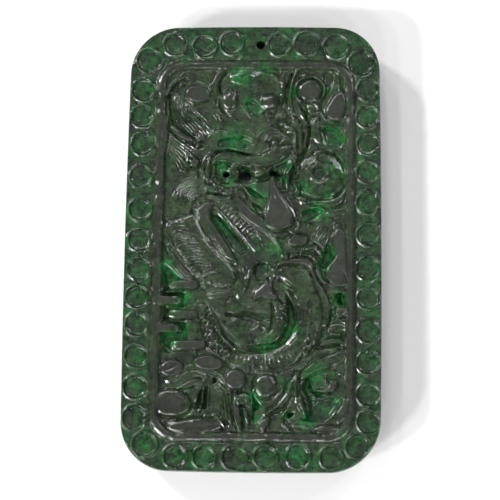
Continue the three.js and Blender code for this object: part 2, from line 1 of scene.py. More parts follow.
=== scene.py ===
import math

import bmesh
import bpy
import numpy as np
from mathutils import Matrix, Vector


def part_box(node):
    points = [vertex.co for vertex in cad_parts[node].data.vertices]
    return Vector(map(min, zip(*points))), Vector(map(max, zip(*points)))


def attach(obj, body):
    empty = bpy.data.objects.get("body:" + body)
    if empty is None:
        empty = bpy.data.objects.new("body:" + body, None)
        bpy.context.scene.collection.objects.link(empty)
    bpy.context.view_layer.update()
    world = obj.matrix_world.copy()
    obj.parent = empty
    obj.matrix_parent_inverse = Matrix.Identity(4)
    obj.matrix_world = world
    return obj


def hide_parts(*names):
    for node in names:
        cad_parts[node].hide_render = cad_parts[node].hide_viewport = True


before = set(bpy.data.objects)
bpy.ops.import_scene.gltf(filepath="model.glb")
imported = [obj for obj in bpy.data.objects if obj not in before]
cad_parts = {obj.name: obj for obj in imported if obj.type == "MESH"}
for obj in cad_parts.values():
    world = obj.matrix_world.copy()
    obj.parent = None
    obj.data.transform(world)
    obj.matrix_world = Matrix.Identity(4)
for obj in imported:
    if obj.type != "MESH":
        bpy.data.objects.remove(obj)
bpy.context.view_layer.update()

# --- The stone ------------------------------------------------------------------------
# One slab of dark green jade. Its outline was sawn and ground, and its back and sides
# polished flat. All of the carving is cut down from the face, so the highest forms keep
# the old polished surface.

MM = 0.001
low, high = (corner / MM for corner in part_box("plaque"))
WIDTH = high.x - low.x
HEIGHT = high.y - low.y
FACE = high.z - low.z
CORNER_RADII = {(1, 1): 7.0, (-1, 1): 7.6, (-1, -1): 7.2, (1, -1): 7.9}
SIDE_BOW = 0.3
EDGE_TOP = 5.1
EDGE_ROUND = 1.05
SIDE_TUCK = 1.7
PITCH = 0.085
TRIANGLES = 190000

BORDER_FLOOR = 5.85
RING_TOP = 6.16
DISH_FLOOR = 5.68
PANEL_FLOOR = 5.75


def outline_places(columns, rows):
    """Grid points drawn onto the rounded outline, and how far each lies inside it.

    Every closed loop of the grid becomes a rounded rectangle, so that rows near the edge
    follow the edge.
    """
    u, v = np.meshgrid(np.linspace(-1, 1, columns), np.linspace(-1, 1, rows))
    half_x, half_y = WIDTH / 2, HEIGHT / 2
    x, y = u * half_x, v * half_y
    inset = np.minimum(half_x - np.abs(x), half_y - np.abs(y))
    inset = np.maximum(inset, 0)
    for (sx, sy), corner in CORNER_RADII.items():
        from_x = half_x - sx * x
        from_y = half_y - sy * y
        radius = corner - inset
        here = (sx * x >= 0) & (sy * y >= 0) & (from_x < corner) & (from_y < corner)
        run = np.where(from_x > from_y, from_x - inset, from_y - inset)
        share = 1 - np.clip(run / np.maximum(radius, 1e-6), 0, 1)
        angle = np.where(from_x > from_y, math.pi / 2 - share * math.pi / 4, share * math.pi / 4)
        here &= radius > 0
        x = np.where(here, sx * (half_x - corner + radius * np.cos(angle)), x)
        y = np.where(here, sy * (half_y - corner + radius * np.sin(angle)), y)
    x = x * (1 - SIDE_BOW / half_x * (y / half_y) ** 2)
    y = y * (1 - SIDE_BOW / half_y * (x / half_x) ** 2)
    return x, y, inset


def smooth_route(stations, closed=False, steps=8):
    """Dense samples of a curve through a few stations, each a row of any length."""
    points = np.asarray(stations, float)
    count = len(points)
    if closed:
        spans = range(count)

        def fetch(i):
            return points[i % count]
    else:
        spans = range(count - 1)
        ends = (2 * points[0] - points[1], 2 * points[-1] - points[-2])

        def fetch(i):
            if i < 0:
                return ends[0]
            return ends[1] if i >= count else points[i]

    samples = []
    for i in spans:
        before, start, end, after = (fetch(i + k) for k in (-1, 0, 1, 2))
        for t in np.arange(steps) / steps:
            samples.append(0.5 * (
                2 * start + (end - before) * t
                + (2 * before - 5 * start + 4 * end - after) * t ** 2
                + (3 * start - before - 3 * end + after) * t ** 3
            ))
    if not closed:
        samples.append(points[-1])
    return np.array(samples)


def crowned(share):
    return 1 - np.sqrt(np.clip(1 - share ** 2.2, 0, 1))


def flat(share):
    return np.clip((share - 0.72) / 0.28, 0, 1) ** 2


def keen(share):
    return share


class Carving:
    """The face of the stone, as heights over its back in millimetres."""

    WALL = 3.2  # how steeply the side of a raised form falls, as height over distance
    MOAT = 0.30  # width of the line that is cut round a form to set it off

    def __init__(self, x, y, ground):
        self.x, self.y, self.h = x, y, ground

    def near(self, xs, ys, reach):
        inside = (self.x > min(xs) - reach) & (self.x < max(xs) + reach)
        inside &= (self.y > min(ys) - reach) & (self.y < max(ys) + reach)
        return np.nonzero(inside)

    def follow(self, route, reach):
        """Points near a route: their side distance, its sign, run and the route's values."""
        where = self.near(route[:, 0], route[:, 1], reach)
        px, py = self.x[where], self.y[where]
        best = np.full(px.shape, np.inf)
        side = np.zeros(px.shape)
        run = np.zeros(px.shape)
        total = 0.0
        for (x0, y0), (x1, y1), i in zip(route[:-1, :2], route[1:, :2], range(len(route))):
            dx, dy = x1 - x0, y1 - y0
            length = math.hypot(dx, dy)
            t = np.clip(((px - x0) * dx + (py - y0) * dy) / max(length ** 2, 1e-9), 0, 1)
            gap = np.hypot(px - x0 - t * dx, py - y0 - t * dy)
            closer = gap < best
            best = np.where(closer, gap, best)
            side = np.where(closer, np.sign(dx * (py - y0) - dy * (px - x0)), side)
            run = np.where(closer, i + t, run)
            total += length
        kept = best < reach
        where = tuple(axis[kept] for axis in where)
        values = [np.interp(run[kept], np.arange(len(route)), route[:, k])
                  for k in range(2, route.shape[1])]
        return where, best[kept], side[kept], run[kept] / (len(route) - 1) * total, values

    def lay(self, where, top, beyond, moat):
        """Sets a form on the stone: its top where beyond is 0, and its wall further out."""
        here = self.h[where]
        if moat:
            line = top - self.WALL * 0.15 - moat * 0.5 + np.abs(beyond - self.MOAT / 2) * self.WALL
            ring = (beyond > 0) & (beyond < self.MOAT * 1.6)
            here = np.where(ring, np.minimum(here, np.maximum(line, here - 0.3)), here)
        self.h[where] = np.maximum(here, np.where(beyond > 0, top - beyond * self.WALL, top))

    def band(self, stations, profile=None, crown=0.45, moat=None, lines=0, ticks=0, cut=0.08):
        """A strand. A station is x, y, half width and depth below the face.

        A slender strand has a keen crest and no line round it.
        """
        route = smooth_route(stations)
        slender = max(route[:, 2]) < 0.42
        if profile is None:
            profile = keen if slender else crowned
        if moat is None:
            moat = 0.0 if slender else 0.15
        reach = max(route[:, 2]) + 1.6
        where, gap, side, run, (half, depth) = self.follow(route, reach)
        half = np.maximum(half, 0.05)
        share = np.clip(gap / half, 0, 1)
        top = FACE - depth - crown * profile(share)
        if lines:
            phase = (side * gap / half + 1) / 2 * lines
            top = top - cut * (1 - np.abs(np.sin(math.pi * phase))) ** 2 * (share < 1)
        if ticks:
            top = top - cut * np.clip(np.cos(2 * math.pi * run / ticks) * 2 - 1, 0, 1)
        self.lay(where, top, np.maximum(gap - half, 0), moat)

    def sheaf(self, first, last, count, **form):
        """Strands side by side, each between the first and the last."""
        first, last = np.asarray(first, float), np.asarray(last, float)
        for i in range(count):
            self.band(first + (last - first) * i / (count - 1), moat=0, **form)

    def oval(self, x, y, radius, across, turn, reach):
        where = self.near([x], [y], max(radius, across) + reach)
        px, py = self.x[where] - x, self.y[where] - y
        c, s = math.cos(math.radians(turn)), math.sin(math.radians(turn))
        u, v = (px * c + py * s) / radius, (py * c - px * s) / across
        share = np.hypot(u, v)
        beyond = np.maximum(share - 1, 0) * min(radius, across)
        return where, share, beyond, u, v

    def dome(self, x, y, radius, across=None, turn=0, crown=0.0, edge=1.0, moat=0.12):
        """A rounded boss on an oval foot."""
        where, share, beyond, _, _ = self.oval(x, y, radius, across or radius, turn, 1.2)
        rise = np.sqrt(np.clip(1 - np.clip(share, 0, 1) ** 2, 0, 1))
        self.lay(where, FACE - edge + (edge - crown) * rise, beyond, moat)

    def stud(self, x, y, radius, across=None, turn=0, depth=0.0, crown=0.3, moat=0.15):
        """A flat boss, left at the level of the old face and rounded at its edge."""
        where, share, beyond, _, _ = self.oval(x, y, radius, across or radius, turn, 1.2)
        self.lay(where, FACE - depth - crown * flat(np.clip(share, 0, 1)), beyond, moat)

    def hoop(self, x, y, radius, half, depth=0.2, crown=0.3):
        """A thin standing ring."""
        where = self.near([x], [y], radius + half + 1.2)
        gap = np.abs(np.hypot(self.x[where] - x, self.y[where] - y) - radius)
        top = FACE - depth - crown * crowned(np.clip(gap / half, 0, 1))
        self.lay(where, top, np.maximum(gap - half, 0), 0)

    def bounded(self, outline, reach):
        """Points near a closed outline: how far inside it they lie, negative outside."""
        route = smooth_route(outline, closed=True, steps=6)
        route = np.vstack([route, route[:1]])
        where = self.near(route[:, 0], route[:, 1], reach)
        px, py = self.x[where], self.y[where]
        gap = np.full(px.shape, np.inf)
        odd = np.zeros(px.shape, bool)
        for (x0, y0), (x1, y1) in zip(route[:-1], route[1:]):
            dx, dy = x1 - x0, y1 - y0
            t = np.clip(((px - x0) * dx + (py - y0) * dy) / max(dx * dx + dy * dy, 1e-9), 0, 1)
            gap = np.minimum(gap, np.hypot(px - x0 - t * dx, py - y0 - t * dy))
            if y0 != y1:
                crossing = (py >= min(y0, y1)) & (py < max(y0, y1))
                odd ^= crossing & (px < x0 + (py - y0) * dx / dy)
        return where, np.where(odd, gap, -gap)

    def pad(self, outline, depth=0.0, crown=0.3, edge=0.45, moat=0.15):
        """A flat form with a free outline, rounded over its edge."""
        where, inside = self.bounded(outline, 1.2)
        share = 1 - np.clip(inside / edge, 0, 1)
        self.lay(where, FACE - depth - crown * share ** 2, np.maximum(-inside, 0), moat)

    def hollow(self, outline, floor, wall=2.0):
        """A cut below what is there, with sloping sides."""
        where, inside = self.bounded(outline, 0.1)
        self.h[where] = np.minimum(self.h[where], np.where(
            inside > 0, np.maximum(floor, FACE - inside * wall * 2), FACE + 1))

    def score(self, stations, depth=0.15):
        """A cut line. A station is x, y and half width."""
        route = smooth_route(stations, steps=6)
        where, gap, _, _, (half,) = self.follow(route, max(route[:, 2]) + 0.1)
        self.h[where] -= depth * np.clip(1 - (gap / np.maximum(half, 0.03)) ** 2, 0, 1)

    def scores(self, first, last, count, depth=0.12):
        """Cut lines side by side, each between the first and the last."""
        first, last = np.asarray(first, float), np.asarray(last, float)
        for i in range(count):
            self.score(first + (last - first) * i / (count - 1), depth)

    def swell(self, x, y, radius, across, turn, by):
        """A soft rise of the ground, or a sinking where by is negative."""
        where, share, _, _, _ = self.oval(x, y, radius * 2, across * 2, turn, 0.1)
        self.h[where] += by * np.exp(-(share * 2) ** 2 * 1.5) * (share < 1)


def soften(values, sigma):
    """The same grid with its edges worn round, by a small Gaussian along each axis."""
    reach = max(1, int(math.ceil(3 * sigma)))
    weights = np.exp(-0.5 * (np.arange(-reach, reach + 1) / sigma) ** 2)
    weights /= weights.sum()
    for axis in (0, 1):
        padded = np.pad(values, [(reach, reach) if a == axis else (0, 0) for a in (0, 1)], "edge")
        parts = [np.roll(padded, shift, axis) * weight
                 for shift, weight in zip(range(-reach, reach + 1), weights)]
        values = np.take(sum(parts), range(reach, padded.shape[axis] - reach), axis)
    return values


def wavering(x, y, seed, waves, shortest, longest):
    """An uneven surface between -1 and 1, from waves that run in all directions."""
    chance = np.random.default_rng(seed)
    total = np.zeros_like(x)
    for _ in range(waves):
        angle = chance.uniform(0, 2 * math.pi)
        number = 2 * math.pi / math.exp(chance.uniform(math.log(shortest), math.log(longest)))
        total += np.sin((x * math.cos(angle) + y * math.sin(angle)) * number
                        + chance.uniform(0, 2 * math.pi))
    return total / math.sqrt(waves) / 1.6


# --- The border -------------------------------------------------------------------------
# A row of rings runs round the plaque. Each was cut with a tube drill and dished out
# inside, by eye, so that no two lie quite alike. A raised rim closes the border off from
# the sunk panel.

RIM = {"left": -15.45, "right": 15.95, "bottom": -30.75, "top": 29.5, "radius": 4.3}
RIM_WIDTH = 1.55
RIM_DROP = 0.12  # how far its crest lies below the face
RIM_ROUND = 0.4
RIM_SLOPE = 1.7
RIM_GROOVES = (0.35, RIM_WIDTH - 0.5)  # places across the rim
GROOVE_DEPTH, GROOVE_WIDTH = 0.09, 0.07
RING_WALL = 0.15


def ring_places():
    """Middle and radius of each ring."""
    for x, y, radius in ((-12.7, 32.1, 2.05), (-8.0, 31.8, 2.1), (-3.7, 32.4, 2.0),
                         (3.9, 32.1, 2.0), (8.2, 32.3, 2.1), (12.9, 31.8, 2.1),
                         (-16.7, 29.4, 2.25), (16.8, 29.0, 2.15)):
        yield x, y, radius
    for x, y, radius in ((-15.95, -31.2, 2.15), (-11.3, -32.9, 1.9), (-6.9, -33.0, 1.98),
                         (-2.3, -33.0, 2.0), (2.4, -32.9, 1.98), (7.3, -32.8, 2.05),
                         (12.3, -32.85, 1.95), (16.3, -31.15, 2.1)):
        yield x, y, radius
    for y in (24.6, 20.3, 15.7, 10.5, 5.2, 0.4, -4.2, -8.6, -12.9, -17.8, -22.5, -27.2):
        yield -17.6, y, 1.98
    for y in (24.7, 20.3, 15.8, 11.3, 6.4, 1.4, -4.0, -8.6, -13.6, -18.4, -23.3, -27.5):
        yield 17.9, y, 2.0


def rim_distance(x, y):
    """How far a point lies inside the rim's outer line, negative in the border."""
    middle_x = (RIM["left"] + RIM["right"]) / 2
    middle_y = (RIM["bottom"] + RIM["top"]) / 2
    reach_x = (RIM["right"] - RIM["left"]) / 2 - RIM["radius"]
    reach_y = (RIM["top"] - RIM["bottom"]) / 2 - RIM["radius"]
    over_x = np.abs(x - middle_x) - reach_x
    over_y = np.abs(y - middle_y) - reach_y
    outside = np.hypot(np.maximum(over_x, 0), np.maximum(over_y, 0))
    return RIM["radius"] - outside - np.minimum(np.maximum(over_x, over_y), 0)


def carve_rim(stone):
    """The rim: a flat line with a fine groove near each of its edges."""
    inside = rim_distance(stone.x, stone.y)
    middle = RIM_WIDTH / 2
    gap = np.abs(inside - middle)
    top = FACE - RIM_DROP - RIM_ROUND * np.clip(gap / middle, 0, 1) ** 3
    for line in RIM_GROOVES:
        top -= GROOVE_DEPTH * np.exp(-((inside - line) / GROOVE_WIDTH) ** 2)
    wall = top - np.maximum(gap - middle, 0) * RIM_SLOPE
    wall += 0.05 * wavering(stone.x, stone.y, 17, 40, 0.5, 3.0)
    stone.h = np.maximum(stone.h, wall)


def carve_rings(stone):
    chance = np.random.default_rng(11)
    for x, y, radius in ring_places():
        radius *= chance.uniform(0.97, 1.05)
        lift = chance.uniform(-0.08, 0.05)
        squash, lean = chance.uniform(0.96, 1.0), chance.uniform(0, math.pi)
        where = stone.near([x], [y], radius + 0.8)
        px, py = stone.x[where] - x, stone.y[where] - y
        along = px * math.cos(lean) + py * math.sin(lean)
        across = py * math.cos(lean) - px * math.sin(lean)
        gap = np.hypot(along, across / squash)
        wall = radius - RING_WALL
        crest = RING_TOP + lift - 0.16 * crowned(np.clip(np.abs(gap - wall) / RING_WALL, 0, 1))
        dish = DISH_FLOOR + lift + 0.1 * (gap / wall) ** 2
        inner = np.maximum(dish, crest - np.maximum(wall - RING_WALL - gap, 0) * 2.4)
        here = stone.h[where]
        outer = crest - np.maximum(gap - radius, 0) * 1.6
        stone.h[where] = np.where(gap < wall, inner, np.maximum(here, outer))


# --- The dragon's head ------------------------------------------------------------------
# The head looks out of the panel: a domed brow, two round eyes that stand proud, a curled
# nostril, and an open mouth whose corners were started with a drill.


def carve_head(stone):
    stone.dome(-0.6, 24.3, 5.4, 4.7, crown=0.65, edge=1.2, moat=0.05)
    stone.dome(-0.8, 19.0, 4.6, 2.6, crown=0.7, edge=1.2, moat=0)
    stone.dome(-1.9, 26.7, 2.2, 1.3, crown=0.35, edge=0.9, moat=0)
    stone.dome(1.9, 26.6, 2.2, 1.2, turn=-15, crown=0.45, edge=0.9, moat=0)
    # Folds down the left side of the head, the outer one with a keen edge.
    stone.band([[-4.6, 28.2, 0.5, 0.5], [-5.7, 27.0, 0.6, 0.3], [-6.2, 25.6, 0.55, 0.25],
                [-6.0, 24.2, 0.45, 0.35], [-5.4, 22.9, 0.3, 0.6]], crown=0.35)
    stone.band([[-6.3, 26.3, 0.12, 0.2], [-6.9, 25.2, 0.18, 0.1], [-6.9, 24.3, 0.18, 0.1],
                [-6.5, 23.5, 0.12, 0.25]])
    stone.band([[-6.2, 23.8, 0.12, 0.3], [-5.7, 22.8, 0.17, 0.15], [-5.8, 22.0, 0.12, 0.35]])
    stone.score([[-5.9, 21.6, 0.1], [-5.0, 20.0, 0.18], [-4.3, 18.4, 0.12]], 0.3)
    stone.score([[-5.4, 24.9, 0.08], [-5.75, 23.6, 0.12], [-5.4, 22.2, 0.12], [-4.6, 20.9, 0.1]],
                0.25)
    # The right brow, and a notch that runs down beside it.
    stone.band([[2.6, 27.2, 0.3, 0.5], [3.7, 26.4, 0.35, 0.35], [4.2, 25.2, 0.35, 0.35],
                [4.2, 24.0, 0.3, 0.5]], profile=crowned, moat=0)
    stone.dome(4.5, 25.5, 0.55, 0.75, crown=0.1, edge=0.8, moat=0)
    stone.band([[4.9, 27.6, 0.1, 0.3], [4.5, 26.8, 0.16, 0.1], [4.8, 25.9, 0.1, 0.3]])
    # The eyes stand out of the brow as round balls.
    stone.dome(-3.95, 22.95, 1.5, 1.85, turn=14, crown=0.02, edge=1.05, moat=0)
    stone.dome(-3.3, 24.0, 0.8, 0.42, turn=-35, crown=-0.02, edge=0.5, moat=0)
    stone.dome(2.35, 22.8, 1.45, 1.55, crown=0.02, edge=1.05, moat=0)
    stone.dome(2.7, 23.1, 0.5, 0.75, turn=-35, crown=-0.02, edge=0.5, moat=0)
    stone.score([[3.3, 24.0, 0.08], [3.9, 22.9, 0.14], [3.7, 21.4, 0.1]], 0.35)
    # The bridge of the nose is a sunk lozenge with a keen left edge.
    stone.hollow([[-1.6, 22.4], [-0.4, 23.2], [0.9, 22.4], [1.2, 21.2], [0.5, 20.4],
                  [-0.6, 20.9]], 5.2)
    stone.band([[-2.0, 22.0, 0.12, 0.3], [-1.3, 21.2, 0.22, 0.05], [-0.5, 20.2, 0.14, 0.3]])
    for x, y, turn in ((1.3, 20.85, 50), (2.6, 20.2, 40), (2.3, 20.8, 0)):
        stone.dome(x, y, 0.42, 0.26, turn=turn, crown=-0.05, edge=0.5, moat=0)
    stone.band([[4.0, 20.6, 0.12, 0.4], [4.5, 21.2, 0.2, 0.1], [5.0, 20.9, 0.12, 0.3]])
    stone.band([[3.9, 21.9, 0.12, 0.4], [4.4, 21.4, 0.18, 0.15], [5.0, 21.0, 0.12, 0.4]])
    stone.band([[5.4, 20.6, 0.1, 0.4], [5.6, 21.2, 0.17, 0.12], [5.9, 21.7, 0.1, 0.4]])


def carve_nose(stone):
    stone.hollow([[-5.8, 16.6], [-3.8, 17.2], [-1.6, 17.4], [0.2, 16.2], [-0.8, 15.1],
                  [-3.4, 15.2], [-5.6, 15.4]], 4.85)
    stone.band([[-7.6, 16.2, 0.25, 0.7], [-6.6, 17.4, 0.35, 0.5], [-5.2, 18.1, 0.35, 0.4],
                [-4.0, 17.5, 0.3, 0.6], [-2.4, 17.2, 0.3, 0.7], [-1.0, 18.0, 0.3, 0.6],
                [0.2, 17.2, 0.25, 0.5], [0.5, 16.4, 0.2, 0.6]])
    stone.band([[-7.4, 18.4, 0.25, 0.7], [-6.6, 18.0, 0.3, 0.3], [-6.0, 17.0, 0.2, 0.6]])
    # The nostril: an outer fold, an inner curl and a small knob.
    stone.dome(3.0, 16.9, 2.1, 1.7, crown=0.9, edge=1.3, moat=0)
    stone.band([[0.3, 15.6, 0.2, 0.7], [0.6, 16.9, 0.35, 0.4], [1.6, 18.0, 0.35, 0.3],
                [2.9, 18.4, 0.35, 0.3], [4.0, 17.9, 0.3, 0.4]], profile=crowned)
    stone.band([[1.7, 15.3, 0.22, 0.6], [1.9, 16.6, 0.25, 0.35], [2.8, 17.3, 0.25, 0.3],
                [3.8, 17.1, 0.22, 0.4], [4.1, 16.5, 0.2, 0.5]])
    stone.dome(3.3, 15.9, 0.75, 0.7, crown=0.2, edge=0.8)
    stone.band([[4.2, 16.0, 0.2, 0.6], [5.0, 16.6, 0.25, 0.35], [6.0, 16.1, 0.2, 0.5]])
    stone.dome(4.5, 19.2, 0.7, 0.65, crown=0.05, edge=0.8)
    stone.dome(5.6, 18.2, 1.0, 0.8, turn=-40, crown=0.25, edge=0.8)
    stone.band([[3.9, 21.6, 0.15, 0.5], [4.6, 21.2, 0.22, 0.2], [4.2, 20.4, 0.15, 0.5]])
    stone.band([[5.5, 20.8, 0.15, 0.5], [5.8, 21.6, 0.2, 0.3]])


def carve_mouth(stone):
    stone.hollow([[-6.2, 12.8], [-4.6, 13.2], [-2.4, 12.6], [0.0, 12.1], [2.6, 12.3], [4.6, 13.1],
                  [5.7, 13.7], [5.3, 12.0], [4.6, 10.2], [3.6, 9.6], [2.4, 9.8], [0.6, 9.4],
                  [-2.4, 9.4], [-4.4, 9.2], [-5.8, 9.9]], 5.0)
    # The upper lip, broad and smooth, with a cut above it.
    stone.band([[-7.0, 9.8, 0.3, 0.6], [-7.2, 11.2, 0.4, 0.35], [-6.9, 12.6, 0.5, 0.2],
                [-5.8, 13.6, 0.65, 0.15], [-3.6, 13.6, 0.95, 0.3], [-1.0, 13.2, 0.9, 0.4],
                [1.6, 13.3, 1.1, 0.4], [3.8, 14.2, 1.2, 0.4], [5.4, 15.2, 0.7, 0.5]],
               crown=0.35, moat=0.1)
    stone.score([[-6.7, 12.4, 0.12], [-6.4, 13.7, 0.24], [-5.4, 14.6, 0.28], [-4.2, 14.9, 0.26],
                 [-2.6, 14.6, 0.22], [-0.8, 14.1, 0.2], [1.2, 14.0, 0.14]], depth=0.55)
    stone.band([[-7.3, 13.3, 0.14, 0.1], [-6.8, 13.95, 0.3, 0.0], [-6.0, 14.75, 0.14, 0.1]])
    stone.band([[-7.4, 13.7, 0.1, 0.3], [-7.7, 12.6, 0.2, 0.05], [-8.0, 11.5, 0.18, 0.1],
                [-8.1, 10.9, 0.1, 0.3]])
    stone.band([[-7.9, 11.5, 0.1, 0.3], [-7.7, 10.9, 0.2, 0.05], [-7.5, 10.3, 0.14, 0.3]])
    # Gums round the drilled corners of the mouth.
    stone.dome(-4.2, 11.0, 1.3, 1.3, crown=0.85, edge=1.1, moat=0)
    stone.hoop(-4.25, 10.95, 0.72, 0.14, depth=0.55)
    stone.band([[-3.7, 11.8, 0.2, 0.45], [-2.8, 12.35, 0.3, 0.3], [-1.6, 12.45, 0.3, 0.3],
                [-0.4, 12.1, 0.25, 0.4]], profile=crowned, moat=0)
    stone.band([[-2.7, 11.8, 0.3, 0.45], [-2.45, 11.0, 0.3, 0.4], [-2.6, 10.2, 0.25, 0.5]],
               profile=crowned, moat=0)
    stone.dome(0.9, 11.2, 0.95, 0.6, turn=20, crown=0.45, edge=0.8, moat=0)
    stone.band([[1.1, 10.9, 0.12, 0.4], [2.1, 11.45, 0.25, 0.1], [2.9, 12.0, 0.16, 0.25]])
    stone.band([[3.6, 12.0, 0.1, 0.4], [4.0, 11.5, 0.18, 0.15], [4.3, 11.0, 0.1, 0.4]])
    stone.hollow([[4.4, 9.4], [4.3, 10.8], [4.8, 12.4], [5.7, 13.6], [5.9, 12.8], [5.2, 11.2],
                  [5.0, 9.6]], 4.9)
    # Lower lip and jaw.
    stone.band([[-6.3, 10.5, 0.12, 0.3], [-5.8, 10.05, 0.25, 0.05], [-5.3, 9.6, 0.16, 0.25]])
    stone.band([[-3.5, 9.6, 0.14, 0.4], [-3.1, 9.9, 0.22, 0.2], [-2.6, 10.3, 0.14, 0.4]])
    stone.band([[-7.0, 10.2, 0.3, 0.6], [-6.0, 9.4, 0.4, 0.4], [-5.0, 8.7, 0.4, 0.35],
                [-3.8, 8.4, 0.35, 0.4], [-2.8, 8.9, 0.3, 0.5]], profile=crowned, moat=0)
    stone.band([[-7.6, 8.9, 0.4, 0.5], [-6.4, 8.5, 0.65, 0.35], [-5.2, 8.1, 0.4, 0.4]], moat=0)
    stone.score([[-7.4, 8.0, 0.08], [-6.2, 7.8, 0.16], [-4.8, 7.6, 0.16], [-3.6, 7.3, 0.1]], 0.4)
    stone.band([[-6.8, 7.3, 0.4, 0.35], [-5.2, 7.0, 0.45, 0.35], [-3.6, 6.9, 0.35, 0.4]],
               crown=0.25, moat=0)
    for x, y in ((-7.3, 7.95), (-7.55, 6.65), (-4.7, 8.4), (-3.6, 7.35)):
        stone.dome(x, y, 0.3, 0.22, turn=35, crown=-0.05, edge=0.5, moat=0)
    stone.dome(0.6, 9.9, 0.5, 0.3, crown=0.25, edge=0.7, moat=0)
    # Two cuts between the fang and the tongue glow through.
    stone.hollow([[-1.5, 9.4], [-0.3, 8.9], [0.9, 8.2], [1.8, 7.4], [1.6, 6.9], [0.5, 7.1],
                  [-0.6, 7.8]], 4.8)
    stone.band([[-2.0, 9.3, 0.12, 0.15], [-1.3, 8.4, 0.24, 0.0], [-0.6, 7.6, 0.18, 0.0],
                [0.2, 7.0, 0.12, 0.2]])
    stone.dome(1.9, 6.9, 0.3, 0.25, crown=-0.02, edge=0.6, moat=0)
    stone.hollow([[-0.6, 6.7], [0.6, 6.4], [1.7, 5.6], [1.6, 4.4], [0.4, 4.9]], 5.0)
    # The beard runs on as a strap that widens, down over the neck.
    stone.band([[-2.6, 8.4, 0.35, 0.15], [-2.3, 6.9, 0.5, 0.08], [-1.6, 5.5, 0.8, 0.06],
                [-0.5, 4.3, 0.9, 0.06], [0.9, 3.3, 0.85, 0.08], [2.4, 2.2, 0.65, 0.12],
                [4.0, 1.4, 0.5, 0.25], [5.4, 1.3, 0.3, 0.5]], profile=flat, crown=0.35, moat=0.1)
    stone.band([[-2.1, 6.9, 0.12, 0.1], [-1.3, 6.0, 0.24, -0.02], [-0.5, 5.2, 0.14, 0.1]])
    stone.pad([[-2.0, 8.6], [-1.5, 8.0], [-1.0, 7.3], [-1.2, 6.9], [-1.8, 7.2], [-2.1, 7.9]],
              depth=0.02, edge=0.25, moat=0.05)
    # The tongue: a pair of cords that join and swell into a flat drop.
    stone.hollow([[2.2, 11.0], [3.0, 11.7], [4.0, 11.4], [4.2, 10.6], [3.7, 9.4], [2.8, 9.2],
                  [2.2, 10.0]], 4.3)
    stone.pad([[2.8, 10.5], [2.5, 9.0], [2.5, 7.4], [2.2, 5.8], [1.9, 4.4], [2.1, 2.9],
               [3.4, 2.0], [4.9, 2.1], [6.1, 3.0], [6.3, 4.3], [5.4, 6.0], [4.4, 7.6], [3.7, 9.0],
               [3.4, 10.4]], depth=0.03, moat=0.2)
    stone.score([[3.1, 9.8, 0.06], [3.3, 8.4, 0.12], [3.6, 7.0, 0.08]], 0.25)
    stone.band([[4.1, 8.5, 0.12, 0.2], [4.6, 7.4, 0.2, 0.0], [5.6, 6.0, 0.2, -0.02],
                [6.4, 4.9, 0.2, 0.0], [6.6, 4.1, 0.12, 0.2]])
    stone.band([[1.4, 4.1, 0.1, 0.3], [1.6, 4.6, 0.18, 0.05], [1.9, 5.1, 0.1, 0.3]])
    stone.band([[5.6, 2.4, 0.1, 0.25], [6.1, 2.9, 0.18, 0.05], [6.3, 3.4, 0.1, 0.25]])
    stone.band([[6.4, 2.8, 0.1, 0.25], [6.8, 3.3, 0.18, 0.05], [7.0, 3.9, 0.1, 0.25]])


# --- The mane ---------------------------------------------------------------------------
# Locks swept back from the brow in close, sharp strands, with a smooth ear among them.


